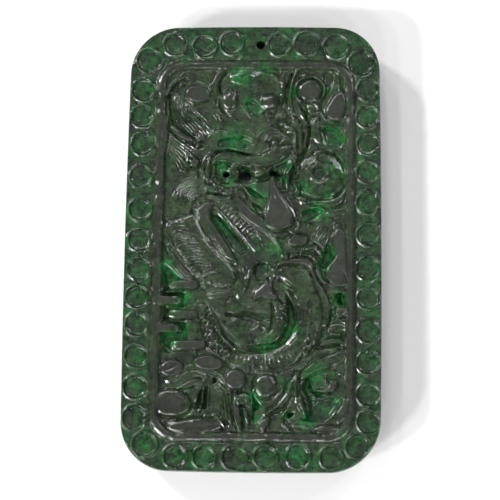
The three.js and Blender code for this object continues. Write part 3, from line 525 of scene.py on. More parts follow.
def carve_mane(stone):
    stone.swell(-10.2, 20.4, 3.0, 2.6, -40, 0.2)
    # The main fall of hair: down the left side, then across to the cheek.
    stone.sheaf([[-12.9, 24.2, 0.12, 0.5], [-12.9, 21.6, 0.2, 0.25], [-12.0, 19.7, 0.25, 0.1],
                 [-10.8, 18.3, 0.25, 0.0], [-9.3, 16.8, 0.12, 0.3]],
                [[-10.6, 22.9, 0.12, 0.6], [-9.5, 21.5, 0.2, 0.35], [-8.3, 20.5, 0.24, 0.3],
                 [-7.2, 19.3, 0.22, 0.25], [-6.0, 17.7, 0.12, 0.4]], 8, crown=0.5)
    stone.scores([[-12.6, 21.2, 0.05], [-11.4, 19.5, 0.08], [-10.0, 17.9, 0.05]],
                 [[-9.4, 21.6, 0.05], [-8.0, 20.2, 0.08], [-6.6, 18.2, 0.05]], 10, 0.15)
    stone.sheaf([[-6.9, 20.9, 0.1, 0.6], [-6.2, 20.0, 0.16, 0.45], [-5.5, 18.7, 0.1, 0.6]],
                [[-5.9, 21.6, 0.1, 0.6], [-5.2, 20.2, 0.16, 0.45], [-4.6, 18.6, 0.1, 0.6]], 3)
    # The lower fall, from the rim to the corner of the mouth, ends in bright tips.
    stone.sheaf([[-14.2, 15.6, 0.12, 0.45], [-13.2, 13.8, 0.2, 0.2], [-12.5, 12.8, 0.22, 0.05],
                 [-11.7, 11.0, 0.12, 0.3]],
                [[-13.4, 18.4, 0.12, 0.45], [-12.0, 16.9, 0.2, 0.3], [-10.4, 15.8, 0.24, 0.2],
                 [-8.9, 15.0, 0.14, 0.3]], 9, crown=0.5)
    stone.scores([[-13.6, 14.8, 0.05], [-12.8, 13.2, 0.07], [-11.6, 11.8, 0.05]],
                 [[-12.8, 17.8, 0.05], [-11.2, 16.2, 0.07], [-9.4, 15.2, 0.05]], 9, 0.15)
    for stations in ([[-10.7, 13.9], [-10.1, 13.3], [-9.5, 13.0]], [[-9.6, 12.9], [-9.4, 13.2],
                     [-9.3, 13.7]], [[-11.0, 12.8], [-10.4, 12.6], [-9.5, 12.1]],
                     [[-10.9, 11.9], [-10.6, 11.6], [-10.2, 11.5]], [[-9.9, 15.6], [-9.3, 15.3],
                     [-8.7, 15.1]], [[-9.0, 16.0], [-8.6, 15.8], [-8.2, 15.7]]):
        widths = (0.12, 0.24, 0.12)
        stone.band([[*place, width, 0.02 if width > 0.2 else 0.2]
                    for place, width in zip(stations, widths)])
    # Locks over the brow, and the smooth strip inside the rim.
    stone.band([[-14.0, 23.3, 0.14, 0.3], [-13.5, 24.5, 0.25, 0.05], [-12.6, 25.8, 0.2, 0.05],
                [-11.6, 26.6, 0.12, 0.4]])
    stone.score([[-13.4, 24.2, 0.1], [-13.35, 22.4, 0.2], [-13.1, 20.4, 0.22], [-12.5, 18.5, 0.14]],
                0.45)
    stone.band([[-12.4, 26.1, 0.1, 0.4], [-11.5, 26.4, 0.16, 0.2], [-10.3, 26.35, 0.1, 0.4]])
    stone.dome(-11.6, 25.4, 0.5, 0.3, turn=25, crown=0.05, edge=0.6, moat=0)
    stone.band([[-11.7, 26.6, 0.1, 0.4], [-11.4, 27.2, 0.14, 0.25], [-11.2, 27.6, 0.1, 0.5]])
    stone.band([[-13.9, 20.0, 0.5, 0.2], [-13.9, 17.4, 0.5, 0.2], [-14.2, 14.6, 0.4, 0.3]],
               profile=flat, moat=0)
    stone.band([[-12.9, 18.4, 0.4, 0.3], [-11.6, 17.3, 0.5, 0.1], [-10.1, 16.4, 0.4, 0.2],
                [-8.8, 15.9, 0.25, 0.45]], profile=flat, moat=0.1)
    stone.band([[-8.0, 25.7, 0.1, 0.3], [-7.5, 24.9, 0.16, 0.1], [-6.95, 23.9, 0.12, 0.2]])
    stone.band([[-10.6, 25.6, 0.2, 0.5], [-9.2, 26.2, 0.3, 0.45], [-7.9, 25.7, 0.2, 0.5]])
    stone.stud(-9.0, 23.9, 2.05, 1.5, turn=-10, depth=0.04)
    stone.dome(-9.2, 12.7, 0.7, 0.9, turn=-20, crown=0.15, edge=0.7)
    stone.dome(-8.7, 15.7, 0.5, 0.4, crown=0.15, edge=0.7)
    # Tufts below the jaw: fine arcs that fan upwards to the right.
    stone.swell(-9.0, 8.4, 1.2, 1.8, 20, 0.35)
    stone.sheaf([[-12.7, 5.0, 0.1, 0.6], [-12.4, 7.4, 0.16, 0.4], [-11.0, 9.4, 0.18, 0.25],
                 [-9.0, 10.4, 0.1, 0.4]],
                [[-9.8, 5.2, 0.1, 0.6], [-9.6, 6.4, 0.16, 0.4], [-8.8, 7.2, 0.18, 0.2],
                 [-7.6, 7.4, 0.1, 0.4]], 9, crown=0.4)
    stone.scores([[-10.0, 9.4, 0.05], [-9.0, 9.9, 0.08], [-7.9, 9.7, 0.05]],
                 [[-9.8, 7.0, 0.05], [-8.8, 7.4, 0.08], [-7.8, 7.4, 0.05]], 7, 0.14)
    stone.band([[-9.0, 11.4, 0.12, 0.25], [-8.85, 10.9, 0.22, 0.02], [-8.7, 10.3, 0.12, 0.3]])
    for x, y in ((-9.75, 5.05), (-9.1, 5.4), (-8.75, 5.85), (-8.35, 6.15)):
        stone.dome(x, y, 0.32, 0.24, turn=35, crown=-0.05, edge=0.5, moat=0)


# --- Whisker, clouds and pearl ------------------------------------------------------------
# Along the right side a long whisker falls from the brow past the flaming pearl, among
# cloud heads that were left flat and polished.


def carve_whisker(stone):
    stone.hollow([[6.4, 28.2], [5.2, 26.8], [4.9, 24.6], [4.7, 22.2], [5.5, 21.8], [5.5, 24.4],
                  [6.3, 26.8]], 5.1)
    stone.band([[7.0, 28.2, 0.3, 0.35], [6.2, 26.5, 0.3, 0.2], [5.75, 24.6, 0.28, 0.3],
                [5.75, 22.6, 0.28, 0.35], [6.1, 20.9, 0.3, 0.3]], profile=crowned)
    stone.band([[6.9, 26.6, 0.2, 0.5], [6.6, 24.8, 0.3, 0.55], [6.6, 22.8, 0.3, 0.5],
                [7.1, 21.2, 0.28, 0.45], [7.8, 20.0, 0.2, 0.5]], profile=crowned)
    stone.score([[6.8, 25.0, 0.08], [6.95, 23.2, 0.14], [7.5, 21.8, 0.16], [8.15, 20.7, 0.18],
                 [8.5, 19.4, 0.2], [8.75, 17.6, 0.2], [8.5, 16.0, 0.22], [8.1, 14.6, 0.24],
                 [7.3, 13.6, 0.22], [6.6, 12.4, 0.2], [6.0, 11.0, 0.16], [5.7, 9.2, 0.1]], 0.75)
    # Knuckles of the whisker where it turns past the nostril.
    for x, y, size, turn in ((6.3, 20.1, 0.55, -35), (6.9, 19.6, 0.5, -40), (7.3, 18.9, 0.5, -50),
                             (8.3, 18.8, 0.35, 60), (7.55, 18.0, 0.4, 90)):
        stone.dome(x, y, size, size * 0.7, turn=turn, crown=-0.05, edge=0.75, moat=0)
    stone.band([[6.0, 20.0, 0.3, 0.3], [6.8, 18.9, 0.35, 0.2], [7.3, 17.4, 0.35, 0.25],
                [7.3, 16.2, 0.35, 0.25], [7.5, 15.0, 0.3, 0.3], [7.2, 14.2, 0.2, 0.5]],
               profile=crowned, moat=0.1)
    stone.band([[5.8, 19.6, 0.2, 0.5], [6.4, 18.3, 0.25, 0.4], [6.6, 17.0, 0.25, 0.4],
                [6.5, 15.8, 0.28, 0.35], [6.3, 14.4, 0.28, 0.35], [6.1, 13.4, 0.2, 0.5]])
    stone.band([[7.6, 18.6, 0.14, 0.4], [8.15, 17.6, 0.2, 0.3], [8.15, 16.6, 0.2, 0.25],
                [7.8, 15.6, 0.14, 0.4]])
    stone.band([[6.1, 12.6, 0.2, 0.4], [5.7, 11.8, 0.3, 0.3], [5.3, 10.9, 0.4, 0.15],
                [5.2, 9.8, 0.4, 0.3], [5.3, 8.8, 0.25, 0.6]], profile=crowned, moat=0.1)
    # Knuckles down the outer strand.
    for x, y, size in ((6.7, 13.7, 0.42), (6.9, 12.1, 0.45), (6.6, 10.5, 0.45), (6.7, 9.0, 0.55),
                       (6.9, 8.1, 0.5)):
        stone.dome(x, y, size, size * 1.3, turn=15, crown=-0.05, edge=0.8, moat=0.05)
    # The smooth green fold beside the lower whisker.
    stone.band([[10.2, 20.6, 0.4, 0.5], [9.7, 19.2, 0.65, 0.35], [9.8, 17.6, 0.65, 0.35],
                [10.3, 16.5, 0.55, 0.45], [11.2, 15.6, 0.3, 0.7]], crown=0.3, moat=0)


def carve_top_clouds(stone):
    stone.hollow([[10.7, 27.6], [12.2, 27.6], [12.6, 26.2], [12.0, 24.4], [11.0, 23.2],
                  [10.9, 25.0]], 5.2)
    stone.hoop(8.75, 24.5, 2.3, 0.2, depth=0.1)
    stone.stud(8.75, 24.45, 1.82, depth=0.02)
    # The small knot hanging from the disc.
    stone.dome(9.2, 21.7, 1.1, 1.15, crown=0.2, edge=0.8, moat=0.05)
    stone.scores([[8.3, 22.3, 0.08], [8.9, 21.5, 0.12], [8.8, 20.8, 0.08]],
                 [[9.5, 22.6, 0.08], [9.9, 21.8, 0.12], [9.7, 20.9, 0.08]], 4, depth=0.25)
    stone.band([[9.3, 22.5, 0.12, 0.2], [9.9, 22.0, 0.2, 0.0], [10.3, 21.2, 0.2, 0.05],
                [10.1, 20.3, 0.14, 0.3]])
    stone.band([[9.5, 22.7, 0.12, 0.4], [10.3, 23.0, 0.2, 0.3], [11.2, 23.3, 0.12, 0.5]])
    stone.band([[10.5, 21.6, 0.12, 0.2], [10.7, 20.8, 0.2, 0.05], [11.2, 20.0, 0.16, 0.1],
                [12.0, 19.5, 0.1, 0.3]])
    stone.pad([[13.4, 24.3], [12.4, 23.6], [11.9, 22.6], [11.3, 21.6], [11.3, 20.4], [12.2, 19.6],
               [13.4, 19.6], [14.3, 20.6], [14.6, 22.0], [14.4, 23.4], [14.0, 24.3]], depth=0.02)
    # Three keen leaves follow the corner of the rim.
    stone.band([[12.7, 27.0, 0.12, 0.25], [13.2, 26.1, 0.22, 0.05], [13.7, 25.0, 0.14, 0.25]])
    stone.band([[12.8, 28.0, 0.12, 0.3], [13.6, 27.2, 0.2, 0.1], [14.2, 25.9, 0.2, 0.1],
                [14.3, 24.9, 0.12, 0.3]])
    stone.band([[14.1, 25.2, 0.12, 0.2], [14.45, 24.2, 0.2, 0.05], [14.3, 23.4, 0.12, 0.2]])
    stone.dome(13.4, 24.9, 0.5, 0.6, crown=0.2, edge=0.7, moat=0)
    # The emerald hollow under them, closed above by a thin lip.
    stone.hollow([[10.6, 18.5], [12.2, 18.6], [13.8, 18.0], [14.3, 16.2], [13.4, 15.3],
                  [11.9, 15.6], [11.0, 16.6]], 4.6)
    stone.band([[10.4, 18.9, 0.14, 0.5], [11.4, 18.8, 0.2, 0.3], [12.6, 18.7, 0.2, 0.3],
                [13.7, 18.1, 0.2, 0.3], [14.2, 17.0, 0.14, 0.5]])
    stone.band([[9.2, 15.9, 0.15, 0.3], [9.7, 15.3, 0.22, 0.0], [10.2, 14.7, 0.15, 0.3]])


def carve_pearl(stone):
    middle_x, middle_y = 10.45, 10.95
    stone.dome(middle_x, middle_y, 3.7, 3.65, crown=0.35, edge=0.95, moat=0.1)
    stone.score([[8.2, 13.7, 0.1], [9.4, 14.5, 0.18], [11.0, 14.7, 0.2], [12.8, 14.0, 0.2],
                 [14.0, 12.6, 0.14]], 0.3)
    stone.hoop(10.25, 11.2, 1.35, 0.4, depth=0.2)
    where = stone.near([10.25], [11.2], 1.1)
    gap = np.hypot(stone.x[where] - 10.25, stone.y[where] - 11.2)
    stone.h[where] = np.minimum(stone.h[where], 5.2 + np.maximum(gap - 0.8, 0) * 4)
    for x, y, turn in ((10.0, 13.0, 0), (8.65, 11.5, 110), (9.15, 10.6, 100), (11.05, 10.35, 30),
                       (11.4, 10.8, 70), (9.9, 13.9, 20)):
        stone.dome(x, y, 0.34, 0.2, turn=turn, crown=-0.02, edge=0.5, moat=0)
    stone.band([[9.6, 14.3, 0.12, 0.3], [10.3, 14.7, 0.18, 0.15], [11.2, 14.8, 0.12, 0.3]])
    stone.band([[12.2, 14.6, 0.12, 0.3], [12.9, 14.5, 0.18, 0.15], [13.4, 14.2, 0.12, 0.3]])
    stone.band([[13.9, 15.0, 0.1, 0.3], [14.1, 15.3, 0.16, 0.1], [14.2, 15.7, 0.1, 0.3]])
    stone.band([[14.0, 9.1, 0.14, 0.1], [13.7, 8.6, 0.22, 0.02], [13.0, 8.1, 0.14, 0.1],
                [12.4, 7.5, 0.22, 0.02], [12.2, 7.2, 0.12, 0.2]])
    # The cloud that carries it.
    stone.dome(8.1, 6.7, 1.1, 0.7, turn=-10, crown=0.35, edge=0.8, moat=0)
    stone.band([[6.9, 7.2, 0.16, 0.5], [7.5, 7.3, 0.22, 0.35], [8.3, 7.5, 0.16, 0.5]])
    stone.band([[9.0, 6.6, 0.3, 0.5], [10.6, 6.4, 0.5, 0.4], [12.4, 6.4, 0.65, 0.3],
                [13.8, 7.2, 0.6, 0.3], [14.6, 8.6, 0.35, 0.4]], crown=0.3, moat=0.1)


def carve_side_clouds(stone):
    stone.hollow([[7.6, 5.3], [10.0, 5.8], [11.3, 5.3], [10.6, 4.6], [9.6, 3.9], [8.0, 3.0],
                  [7.6, 4.0]], 4.5)
    stone.band([[8.4, 3.3, 0.14, 0.4], [8.8, 2.9, 0.22, 0.1], [9.4, 2.75, 0.14, 0.4]])
    stone.band([[9.6, 3.6, 0.16, 0.5], [11.2, 3.9, 0.22, 0.35], [12.8, 3.7, 0.22, 0.3],
                [14.2, 4.4, 0.18, 0.4]])
    stone.band([[11.4, 4.8, 0.2, 0.5], [12.6, 4.9, 0.3, 0.4], [13.8, 5.5, 0.25, 0.4],
                [14.6, 6.4, 0.16, 0.5]])
    stone.sheaf([[8.6, 0.2, 0.12, 0.8], [9.5, 1.4, 0.2, 0.35], [10.3, 2.5, 0.14, 0.5]],
                [[10.7, -1.4, 0.12, 0.8], [11.5, 0.2, 0.2, 0.45], [12.1, 2.0, 0.14, 0.6]], 7)
    stone.band([[7.0, 4.0, 0.16, 0.5], [7.2, 3.2, 0.25, 0.25], [7.2, 2.4, 0.22, 0.2],
                [6.6, 2.0, 0.15, 0.5]])
    stone.band([[6.4, 4.2, 0.18, 0.6], [6.8, 3.5, 0.2, 0.3], [6.6, 2.9, 0.15, 0.4]])
    stone.band([[4.2, 0.6, 0.12, 0.6], [4.8, 1.2, 0.2, 0.4], [5.6, 1.8, 0.14, 0.6]])
    stone.stud(7.0, 0.4, 1.7, 1.05, turn=4, depth=0.22, moat=0.1)
    stone.band([[8.4, -0.9, 0.3, 0.6], [9.6, -0.6, 0.45, 0.4], [10.6, -1.6, 0.35, 0.6]])
    stone.hollow([[11.4, 0.0], [12.4, -0.6], [12.5, -2.4], [11.2, -4.2], [10.4, -3.6],
                  [10.6, -1.8]], 4.4)
    stone.band([[12.6, 2.7, 0.18, 0.3], [13.2, 2.95, 0.22, 0.1], [13.7, 2.7, 0.15, 0.3]])
    stone.pad([[13.3, 2.5], [12.6, 1.6], [12.3, 0.4], [12.5, -0.8], [12.8, -1.8], [12.4, -2.7],
               [11.6, -3.7], [11.3, -4.8], [11.7, -6.0], [12.6, -6.8], [14.0, -6.9],
               [14.8, -6.2], [14.8, -3.4], [14.6, -0.6], [14.6, 0.8], [14.1, 2.0]], depth=0.0)
    stone.score([[14.2, -4.8, 0.1], [14.6, -5.8, 0.14], [14.9, -6.6, 0.1]], 0.3)
    # Cloud heads beside the coil.
    stone.hollow([[12.9, -7.6], [14.6, -7.8], [14.7, -9.6], [13.2, -9.7], [12.7, -8.8]], 4.3)
    stone.band([[11.1, -7.6, 0.2, 0.4], [11.5, -8.0, 0.28, 0.08], [11.8, -8.8, 0.2, 0.4]])
    stone.band([[12.3, -7.9, 0.18, 0.4], [12.5, -8.4, 0.24, 0.05], [12.6, -9.1, 0.16, 0.4]])
    stone.band([[11.8, -9.0, 0.2, 0.5], [12.2, -9.3, 0.3, 0.3], [12.4, -10.9, 0.2, 0.5]])
    stone.dome(12.3, -9.95, 0.5, 0.45, crown=0.1, edge=0.7)
    stone.pad([[13.0, -10.2], [13.9, -9.9], [14.5, -10.4], [14.6, -11.4], [13.8, -11.3],
               [13.2, -11.7], [12.8, -11.0]], depth=0.15)
    stone.dome(14.4, -11.3, 0.35, 0.3, crown=0.02, edge=0.5)
    stone.dome(13.3, -11.55, 0.35, 0.25, crown=0.05, edge=0.5)
    for step in range(3):
        stone.band([[11.4, -12.6 - step * 0.6, 0.14, 0.7], [12.9, -12.0 - step * 0.55, 0.2, 0.35],
                    [14.0, -12.2 - step * 0.5, 0.2, 0.35], [14.9, -13.0 - step * 0.5, 0.14, 0.5]])
    stone.band([[11.8, -13.8, 0.2, 0.6], [12.6, -14.1, 0.3, 0.3], [13.5, -14.3, 0.3, 0.1],
                [13.9, -14.7, 0.2, 0.4]])
    stone.band([[10.4, -15.9, 0.25, 0.6], [11.6, -15.4, 0.45, 0.3], [13.0, -15.2, 0.5, 0.25],
                [14.1, -15.6, 0.35, 0.4]], profile=crowned)
    stone.band([[10.6, -16.6, 0.25, 0.7], [12.2, -16.4, 0.4, 0.4], [13.6, -16.2, 0.3, 0.4]])


# --- The body -----------------------------------------------------------------------------
# A ribbed belly, a long hollow foreleg between two ridges, a finely hatched wing, and the
# scaled body that coils round the haunch.


def carve_belly(stone):
    stone.band([[-5.6, 6.7, 0.5, 0.7], [-3.8, 5.0, 0.8, 0.5], [-1.9, 3.1, 0.9, 0.45],
                [0.0, 1.4, 0.9, 0.5], [1.6, -0.2, 0.8, 0.7], [2.8, -1.6, 0.6, 0.8]],
               ticks=0.62, cut=0.22, crown=0.35, moat=0)
    # The round of the belly falls away into clear emerald.
    stone.pad([[-0.6, -0.9], [0.4, 1.2], [1.6, 1.8], [3.2, 0.4], [4.2, -1.4], [4.2, -2.7],
               [3.4, -4.2], [2.6, -5.8], [0.8, -6.3], [-0.4, -5.0], [-0.8, -3.0]],
              depth=0.75, crown=0.7, edge=2.2, moat=0)
    stone.hollow([[0.0, -3.2], [1.2, -2.6], [2.6, -2.9], [3.0, -4.4], [2.2, -6.0], [0.7, -6.3],
                  [-0.2, -5.0]], 4.9, 1.0)
    stone.scores([[0.2, 1.6, 0.05], [0.9, 0.9, 0.09], [1.4, 0.0, 0.05]],
                 [[3.9, -2.0, 0.05], [2.9, -2.0, 0.09], [2.0, -1.9, 0.05]], 9, depth=0.16)
    stone.band([[0.4, 2.6, 0.2, 0.6], [1.8, 2.0, 0.3, 0.35], [3.2, 0.9, 0.36, 0.3],
                [4.2, -0.6, 0.32, 0.35], [4.7, -2.0, 0.2, 0.5]], profile=crowned, moat=0)
    stone.band([[4.3, -2.8, 0.14, 0.5], [3.9, -3.6, 0.22, 0.2], [3.5, -4.6, 0.2, 0.25],
                [3.1, -5.4, 0.14, 0.4]])
    stone.sheaf([[-2.4, -2.9, 0.12, 0.6], [-1.9, -4.6, 0.2, 0.4], [-1.7, -6.6, 0.2, 0.4],
                 [-2.0, -8.6, 0.12, 0.6]],
                [[-0.5, -3.0, 0.12, 0.7], [-0.4, -4.4, 0.2, 0.5], [-0.7, -6.2, 0.2, 0.3],
                 [-1.3, -8.2, 0.12, 0.5]], 4)
    stone.band([[-0.9, -5.6, 0.1, 0.3], [-0.7, -6.4, 0.2, 0.05], [-1.2, -7.8, 0.1, 0.3]])


def carve_foreleg(stone):
    stone.pad([[-9.1, 4.9], [-8.2, 5.9], [-7.0, 6.6], [-6.0, 6.2], [-6.6, 4.4], [-6.2, 2.6],
               [-4.4, 0.2], [-2.6, -2.4], [-3.2, -3.0], [-5.0, -1.6], [-6.8, 1.0],
               [-8.0, 3.4]], depth=0.12, crown=0.25, edge=0.6, moat=0.1)
    stone.score([[-8.6, 4.6, 0.1], [-7.7, 3.0, 0.18], [-6.6, 1.2, 0.2], [-5.4, -0.6, 0.18],
                 [-4.2, -2.1, 0.1]], 0.35)
    stone.hollow([[-6.7, 4.5], [-5.4, 4.6], [-4.0, 3.0], [-2.2, 1.0], [-0.6, -0.8],
                  [-1.6, -2.0], [-3.2, -1.0], [-5.0, 1.6], [-6.2, 3.2]], 4.8)
    # The keen double ridge on the left and the finer pair on the right.
    stone.band([[-7.4, 4.8, 0.2, 0.5], [-6.8, 3.4, 0.34, 0.04], [-5.6, 1.6, 0.36, -0.02],
                [-4.2, -0.5, 0.36, -0.02], [-3.3, -1.8, 0.34, 0.0], [-2.4, -3.0, 0.2, 0.25]],
               profile=crowned, crown=0.6, moat=0)
    stone.band([[-7.5, 3.2, 0.12, 0.2], [-6.4, 1.6, 0.2, 0.02], [-5.2, -0.1, 0.2, 0.02],
                [-4.2, -1.5, 0.12, 0.15]], crown=0.3)
    stone.band([[-6.4, 6.3, 0.18, 0.6], [-5.4, 5.3, 0.24, 0.25], [-4.0, 3.8, 0.24, 0.1],
                [-2.4, 2.1, 0.24, 0.08], [-0.9, 0.4, 0.22, 0.12], [0.5, -1.3, 0.14, 0.5]],
               crown=0.4)
    stone.band([[-4.7, 3.9, 0.12, 0.5], [-3.3, 2.6, 0.18, 0.25], [-1.9, 1.0, 0.18, 0.2],
                [-0.6, -0.6, 0.14, 0.4]], crown=0.35)


def carve_wing(stone):
    stone.pad([[-14.5, 2.4], [-13.4, 3.4], [-11.4, 4.2], [-9.2, 4.7], [-8.6, 3.8], [-7.6, 1.8],
               [-5.6, -1.2], [-3.4, -3.2], [-2.6, -4.6], [-2.9, -6.4], [-4.6, -7.0],
               [-7.4, -6.6], [-9.4, -5.1], [-11.6, -2.6], [-12.7, -0.2], [-13.4, 1.2]],
              depth=0.5, crown=0.4, edge=1.0, moat=0.1)
    # Feathering: fine curved strands fan across the wing from its nicked edge.
    stone.sheaf([[-13.4, 3.0, 0.12, 0.5], [-11.6, 3.1, 0.2, 0.35], [-10.2, 2.9, 0.2, 0.3],
                 [-8.8, 2.6, 0.12, 0.5]],
                [[-8.8, -5.6, 0.12, 0.3], [-7.2, -5.0, 0.2, 0.25], [-5.2, -4.7, 0.2, 0.35],
                 [-3.4, -4.8, 0.12, 0.5]], 17, crown=0.25)
    stone.scores([[-12.6, 1.8, 0.05], [-11.8, 1.9, 0.1], [-11.0, 1.6, 0.05]],
                 [[-9.0, -4.9, 0.05], [-8.2, -4.4, 0.1], [-7.4, -4.3, 0.05]], 12, depth=0.25)
    stone.band([[-13.7, 1.9, 0.2, 0.3], [-13.1, 1.0, 0.3, 0.02], [-12.5, -0.4, 0.26, 0.05],
                [-12.1, -1.4, 0.28, 0.0], [-11.3, -2.6, 0.3, -0.02], [-10.2, -4.0, 0.3, -0.02],
                [-8.9, -5.3, 0.22, 0.05]], ticks=0.8, cut=0.1, crown=0.5)
    for step in range(9):
        share = step / 8
        x, y = -12.1 + 3.6 * share, -0.6 - 4.4 * share
        stone.band([[x, y, 0.1, 0.2], [x + 0.4, y + 0.16, 0.2, 0.0],
                    [x + 0.75, y + 0.5, 0.1, 0.25]])
    # The strap outside it, left at the level of the old face.
    stone.band([[-13.2, -0.8, 0.2, 0.5], [-12.5, -2.0, 0.35, 0.2], [-11.4, -3.6, 0.5, 0.05],
                [-10.2, -4.9, 0.5, 0.03], [-9.0, -6.2, 0.5, 0.05]], profile=flat, crown=0.3,
               moat=0.1)
    stone.dome(-14.3, 2.6, 0.4, 0.8, turn=-20, crown=0.05, edge=0.6)
    stone.dome(-14.3, 1.4, 0.25, 0.2, crown=0.0, edge=0.5, moat=0)
    # Small scales where the wing meets the body.
    for row in range(6):
        for column in range(7):
            x = -8.0 + column * 0.78 + row * 0.2
            y = -5.0 - row * 0.42 + column * 0.12
            if x < -2.7:
                stone.band([[x - 0.25, y - 0.18, 0.08, 0.5], [x, y, 0.15, 0.15 + 0.04 * column],
                            [x + 0.22, y + 0.22, 0.08, 0.5]])
    stone.band([[-8.2, -6.4, 0.14, 0.4], [-6.6, -7.1, 0.24, 0.25], [-4.8, -7.3, 0.24, 0.2],
                [-3.2, -7.2, 0.14, 0.3]])


def carve_coil(stone):
    stone.hollow([[4.8, -6.8], [5.4, -7.6], [6.6, -9.6], [7.0, -12.4], [6.4, -14.8],
                  [4.6, -16.2], [2.0, -17.0], [-1.0, -17.0], [0.4, -15.8], [3.6, -15.2],
                  [5.0, -13.4], [5.3, -10.4]], 4.7)
    # The coiled body, widest at the right and narrow under the wing.
    stone.band([[3.9, -4.4, 0.9, 0.6], [5.4, -4.5, 1.6, 0.4], [7.3, -5.4, 2.2, 0.32],
                [8.6, -7.8, 2.3, 0.35], [9.1, -10.8, 2.2, 0.4], [8.6, -13.8, 2.1, 0.4],
                [6.8, -16.4, 1.9, 0.45], [3.8, -18.2, 1.6, 0.5], [0.4, -18.6, 1.4, 0.5],
                [-2.4, -18.0, 1.3, 0.45], [-4.6, -16.4, 1.3, 0.4], [-6.0, -14.2, 1.4, 0.35],
                [-7.0, -12.0, 1.2, 0.45], [-7.8, -10.2, 0.8, 0.6]],
               lines=9, cut=0.16, crown=0.6, moat=0.15)
    # Long strands on the right of the coil.
    stone.sheaf([[4.9, -6.4, 0.12, 0.5], [6.4, -7.6, 0.2, 0.4], [7.4, -9.8, 0.2, 0.4],
                 [7.7, -12.4, 0.2, 0.4], [6.9, -15.0, 0.12, 0.5]],
                [[7.6, -3.8, 0.12, 0.4], [9.4, -5.8, 0.2, 0.3], [10.8, -9.0, 0.2, 0.3],
                 [10.9, -12.6, 0.2, 0.3], [9.0, -16.4, 0.12, 0.5]], 10, crown=0.3)
    for x, y, turn in ((8.7, -14.3, 85), (8.5, -15.4, 80), (9.1, -16.2, 60), (8.7, -16.9, 60),
                       (8.2, -16.6, 60), (7.6, -17.5, 55), (7.15, -18.1, 40), (9.8, -15.5, 60)):
        stone.dome(x, y, 0.42, 0.17, turn=turn, crown=-0.02, edge=0.55, moat=0)
    for step in range(9):
        x, y = 8.0 + 0.25 * step, -8.6 - 0.75 * step + 0.02 * step ** 2
        stone.band([[x - 0.3, y + 0.5, 0.08, 0.4], [x, y, 0.15, 0.12],
                    [x + 0.25, y - 0.5, 0.08, 0.4]])
    carve_scales(stone)
    # Short bars across the body at the foot of the coil.
    for step in range(16):
        angle = math.radians(243 + step * 4.4)
        c, s = math.cos(angle), math.sin(angle)
        inner, outer = (7.9 if step % 2 else 7.4), (9.3 if step % 3 else 8.9)
        stone.band([[1.1 + inner * c, -10.2 + inner * s, 0.1, 0.45],
                    [1.1 + (inner + outer) / 2 * c, -10.2 + (inner + outer) / 2 * s, 0.17, 0.2],
                    [1.1 + outer * c, -10.2 + outer * s, 0.1, 0.4]], moat=0)
    stone.band([[-8.8, -9.8, 0.1, 0.4], [-8.35, -11.8, 0.18, 0.2], [-7.8, -14.0, 0.18, 0.15],
                [-7.0, -15.9, 0.18, 0.15], [-5.8, -17.1, 0.18, 0.15], [-4.2, -18.2, 0.18, 0.25],
                [-2.6, -18.9, 0.1, 0.45]])
    stone.band([[-6.4, -10.4, 0.1, 0.5], [-5.6, -11.7, 0.18, 0.2], [-5.1, -13.2, 0.2, 0.1],
                [-4.4, -14.7, 0.2, 0.1], [-3.3, -15.9, 0.18, 0.15], [-2.0, -16.9, 0.12, 0.35]])
    # The smooth crest, with beads outside it.
    stone.band([[3.9, -3.4, 0.3, 0.4], [5.2, -2.9, 0.45, 0.2], [7.2, -2.8, 0.55, 0.1],
                [8.9, -3.3, 0.55, 0.08], [9.7, -4.8, 0.5, 0.1], [10.3, -6.6, 0.45, 0.15],
                [11.2, -8.6, 0.5, 0.2], [11.7, -10.6, 0.5, 0.25], [11.3, -12.8, 0.35, 0.4]],
               profile=crowned, crown=0.35, moat=0.05)
    stone.band([[9.2, -4.9, 0.15, 0.3], [9.7, -5.8, 0.25, 0.05], [10.4, -6.7, 0.2, 0.02]])
    beads = smooth_route([[5.35, -2.05], [7.0, -1.85], [8.8, -2.0], [9.9, -2.9], [10.25, -4.5],
                          [10.7, -5.6], [11.2, -6.3]], steps=3)
    for x, y in beads[1:]:
        stone.dome(x, y, 0.3, 0.24, turn=30, crown=-0.03, edge=0.45, moat=0.05)
    stone.dome(5.35, -2.05, 0.34, 0.42, crown=-0.03, edge=0.5, moat=0.05)


def carve_scales(stone):
    """Lozenge scales on the lower left of the coil, each with a small raised point."""
    spine = smooth_route([[-7.5, -11.2], [-6.6, -13.2], [-5.6, -15.1], [-4.2, -16.7],
                          [-2.6, -18.0]], steps=3)
    for i, ((x0, y0), (x1, y1)) in enumerate(zip(spine[:-1], spine[1:])):
        length = math.hypot(x1 - x0, y1 - y0)
        ux, uy = (x1 - x0) / length, (y1 - y0) / length
        for lean in (-0.7, 0.7):
            stone.score([[x0 + uy * 1.3 - ux * lean, y0 - ux * 1.3 - uy * lean, 0.1],
                         [x0 - uy * 1.3 + ux * lean, y0 + ux * 1.3 + uy * lean, 0.1]], depth=0.3)
        for side in (-0.75, 0.0, 0.75) if i % 2 else (-0.38, 0.38):
            stone.dome(x0 - uy * side, y0 + ux * side, 0.26, 0.2, turn=40, crown=0.0, edge=0.5,
                       moat=0)


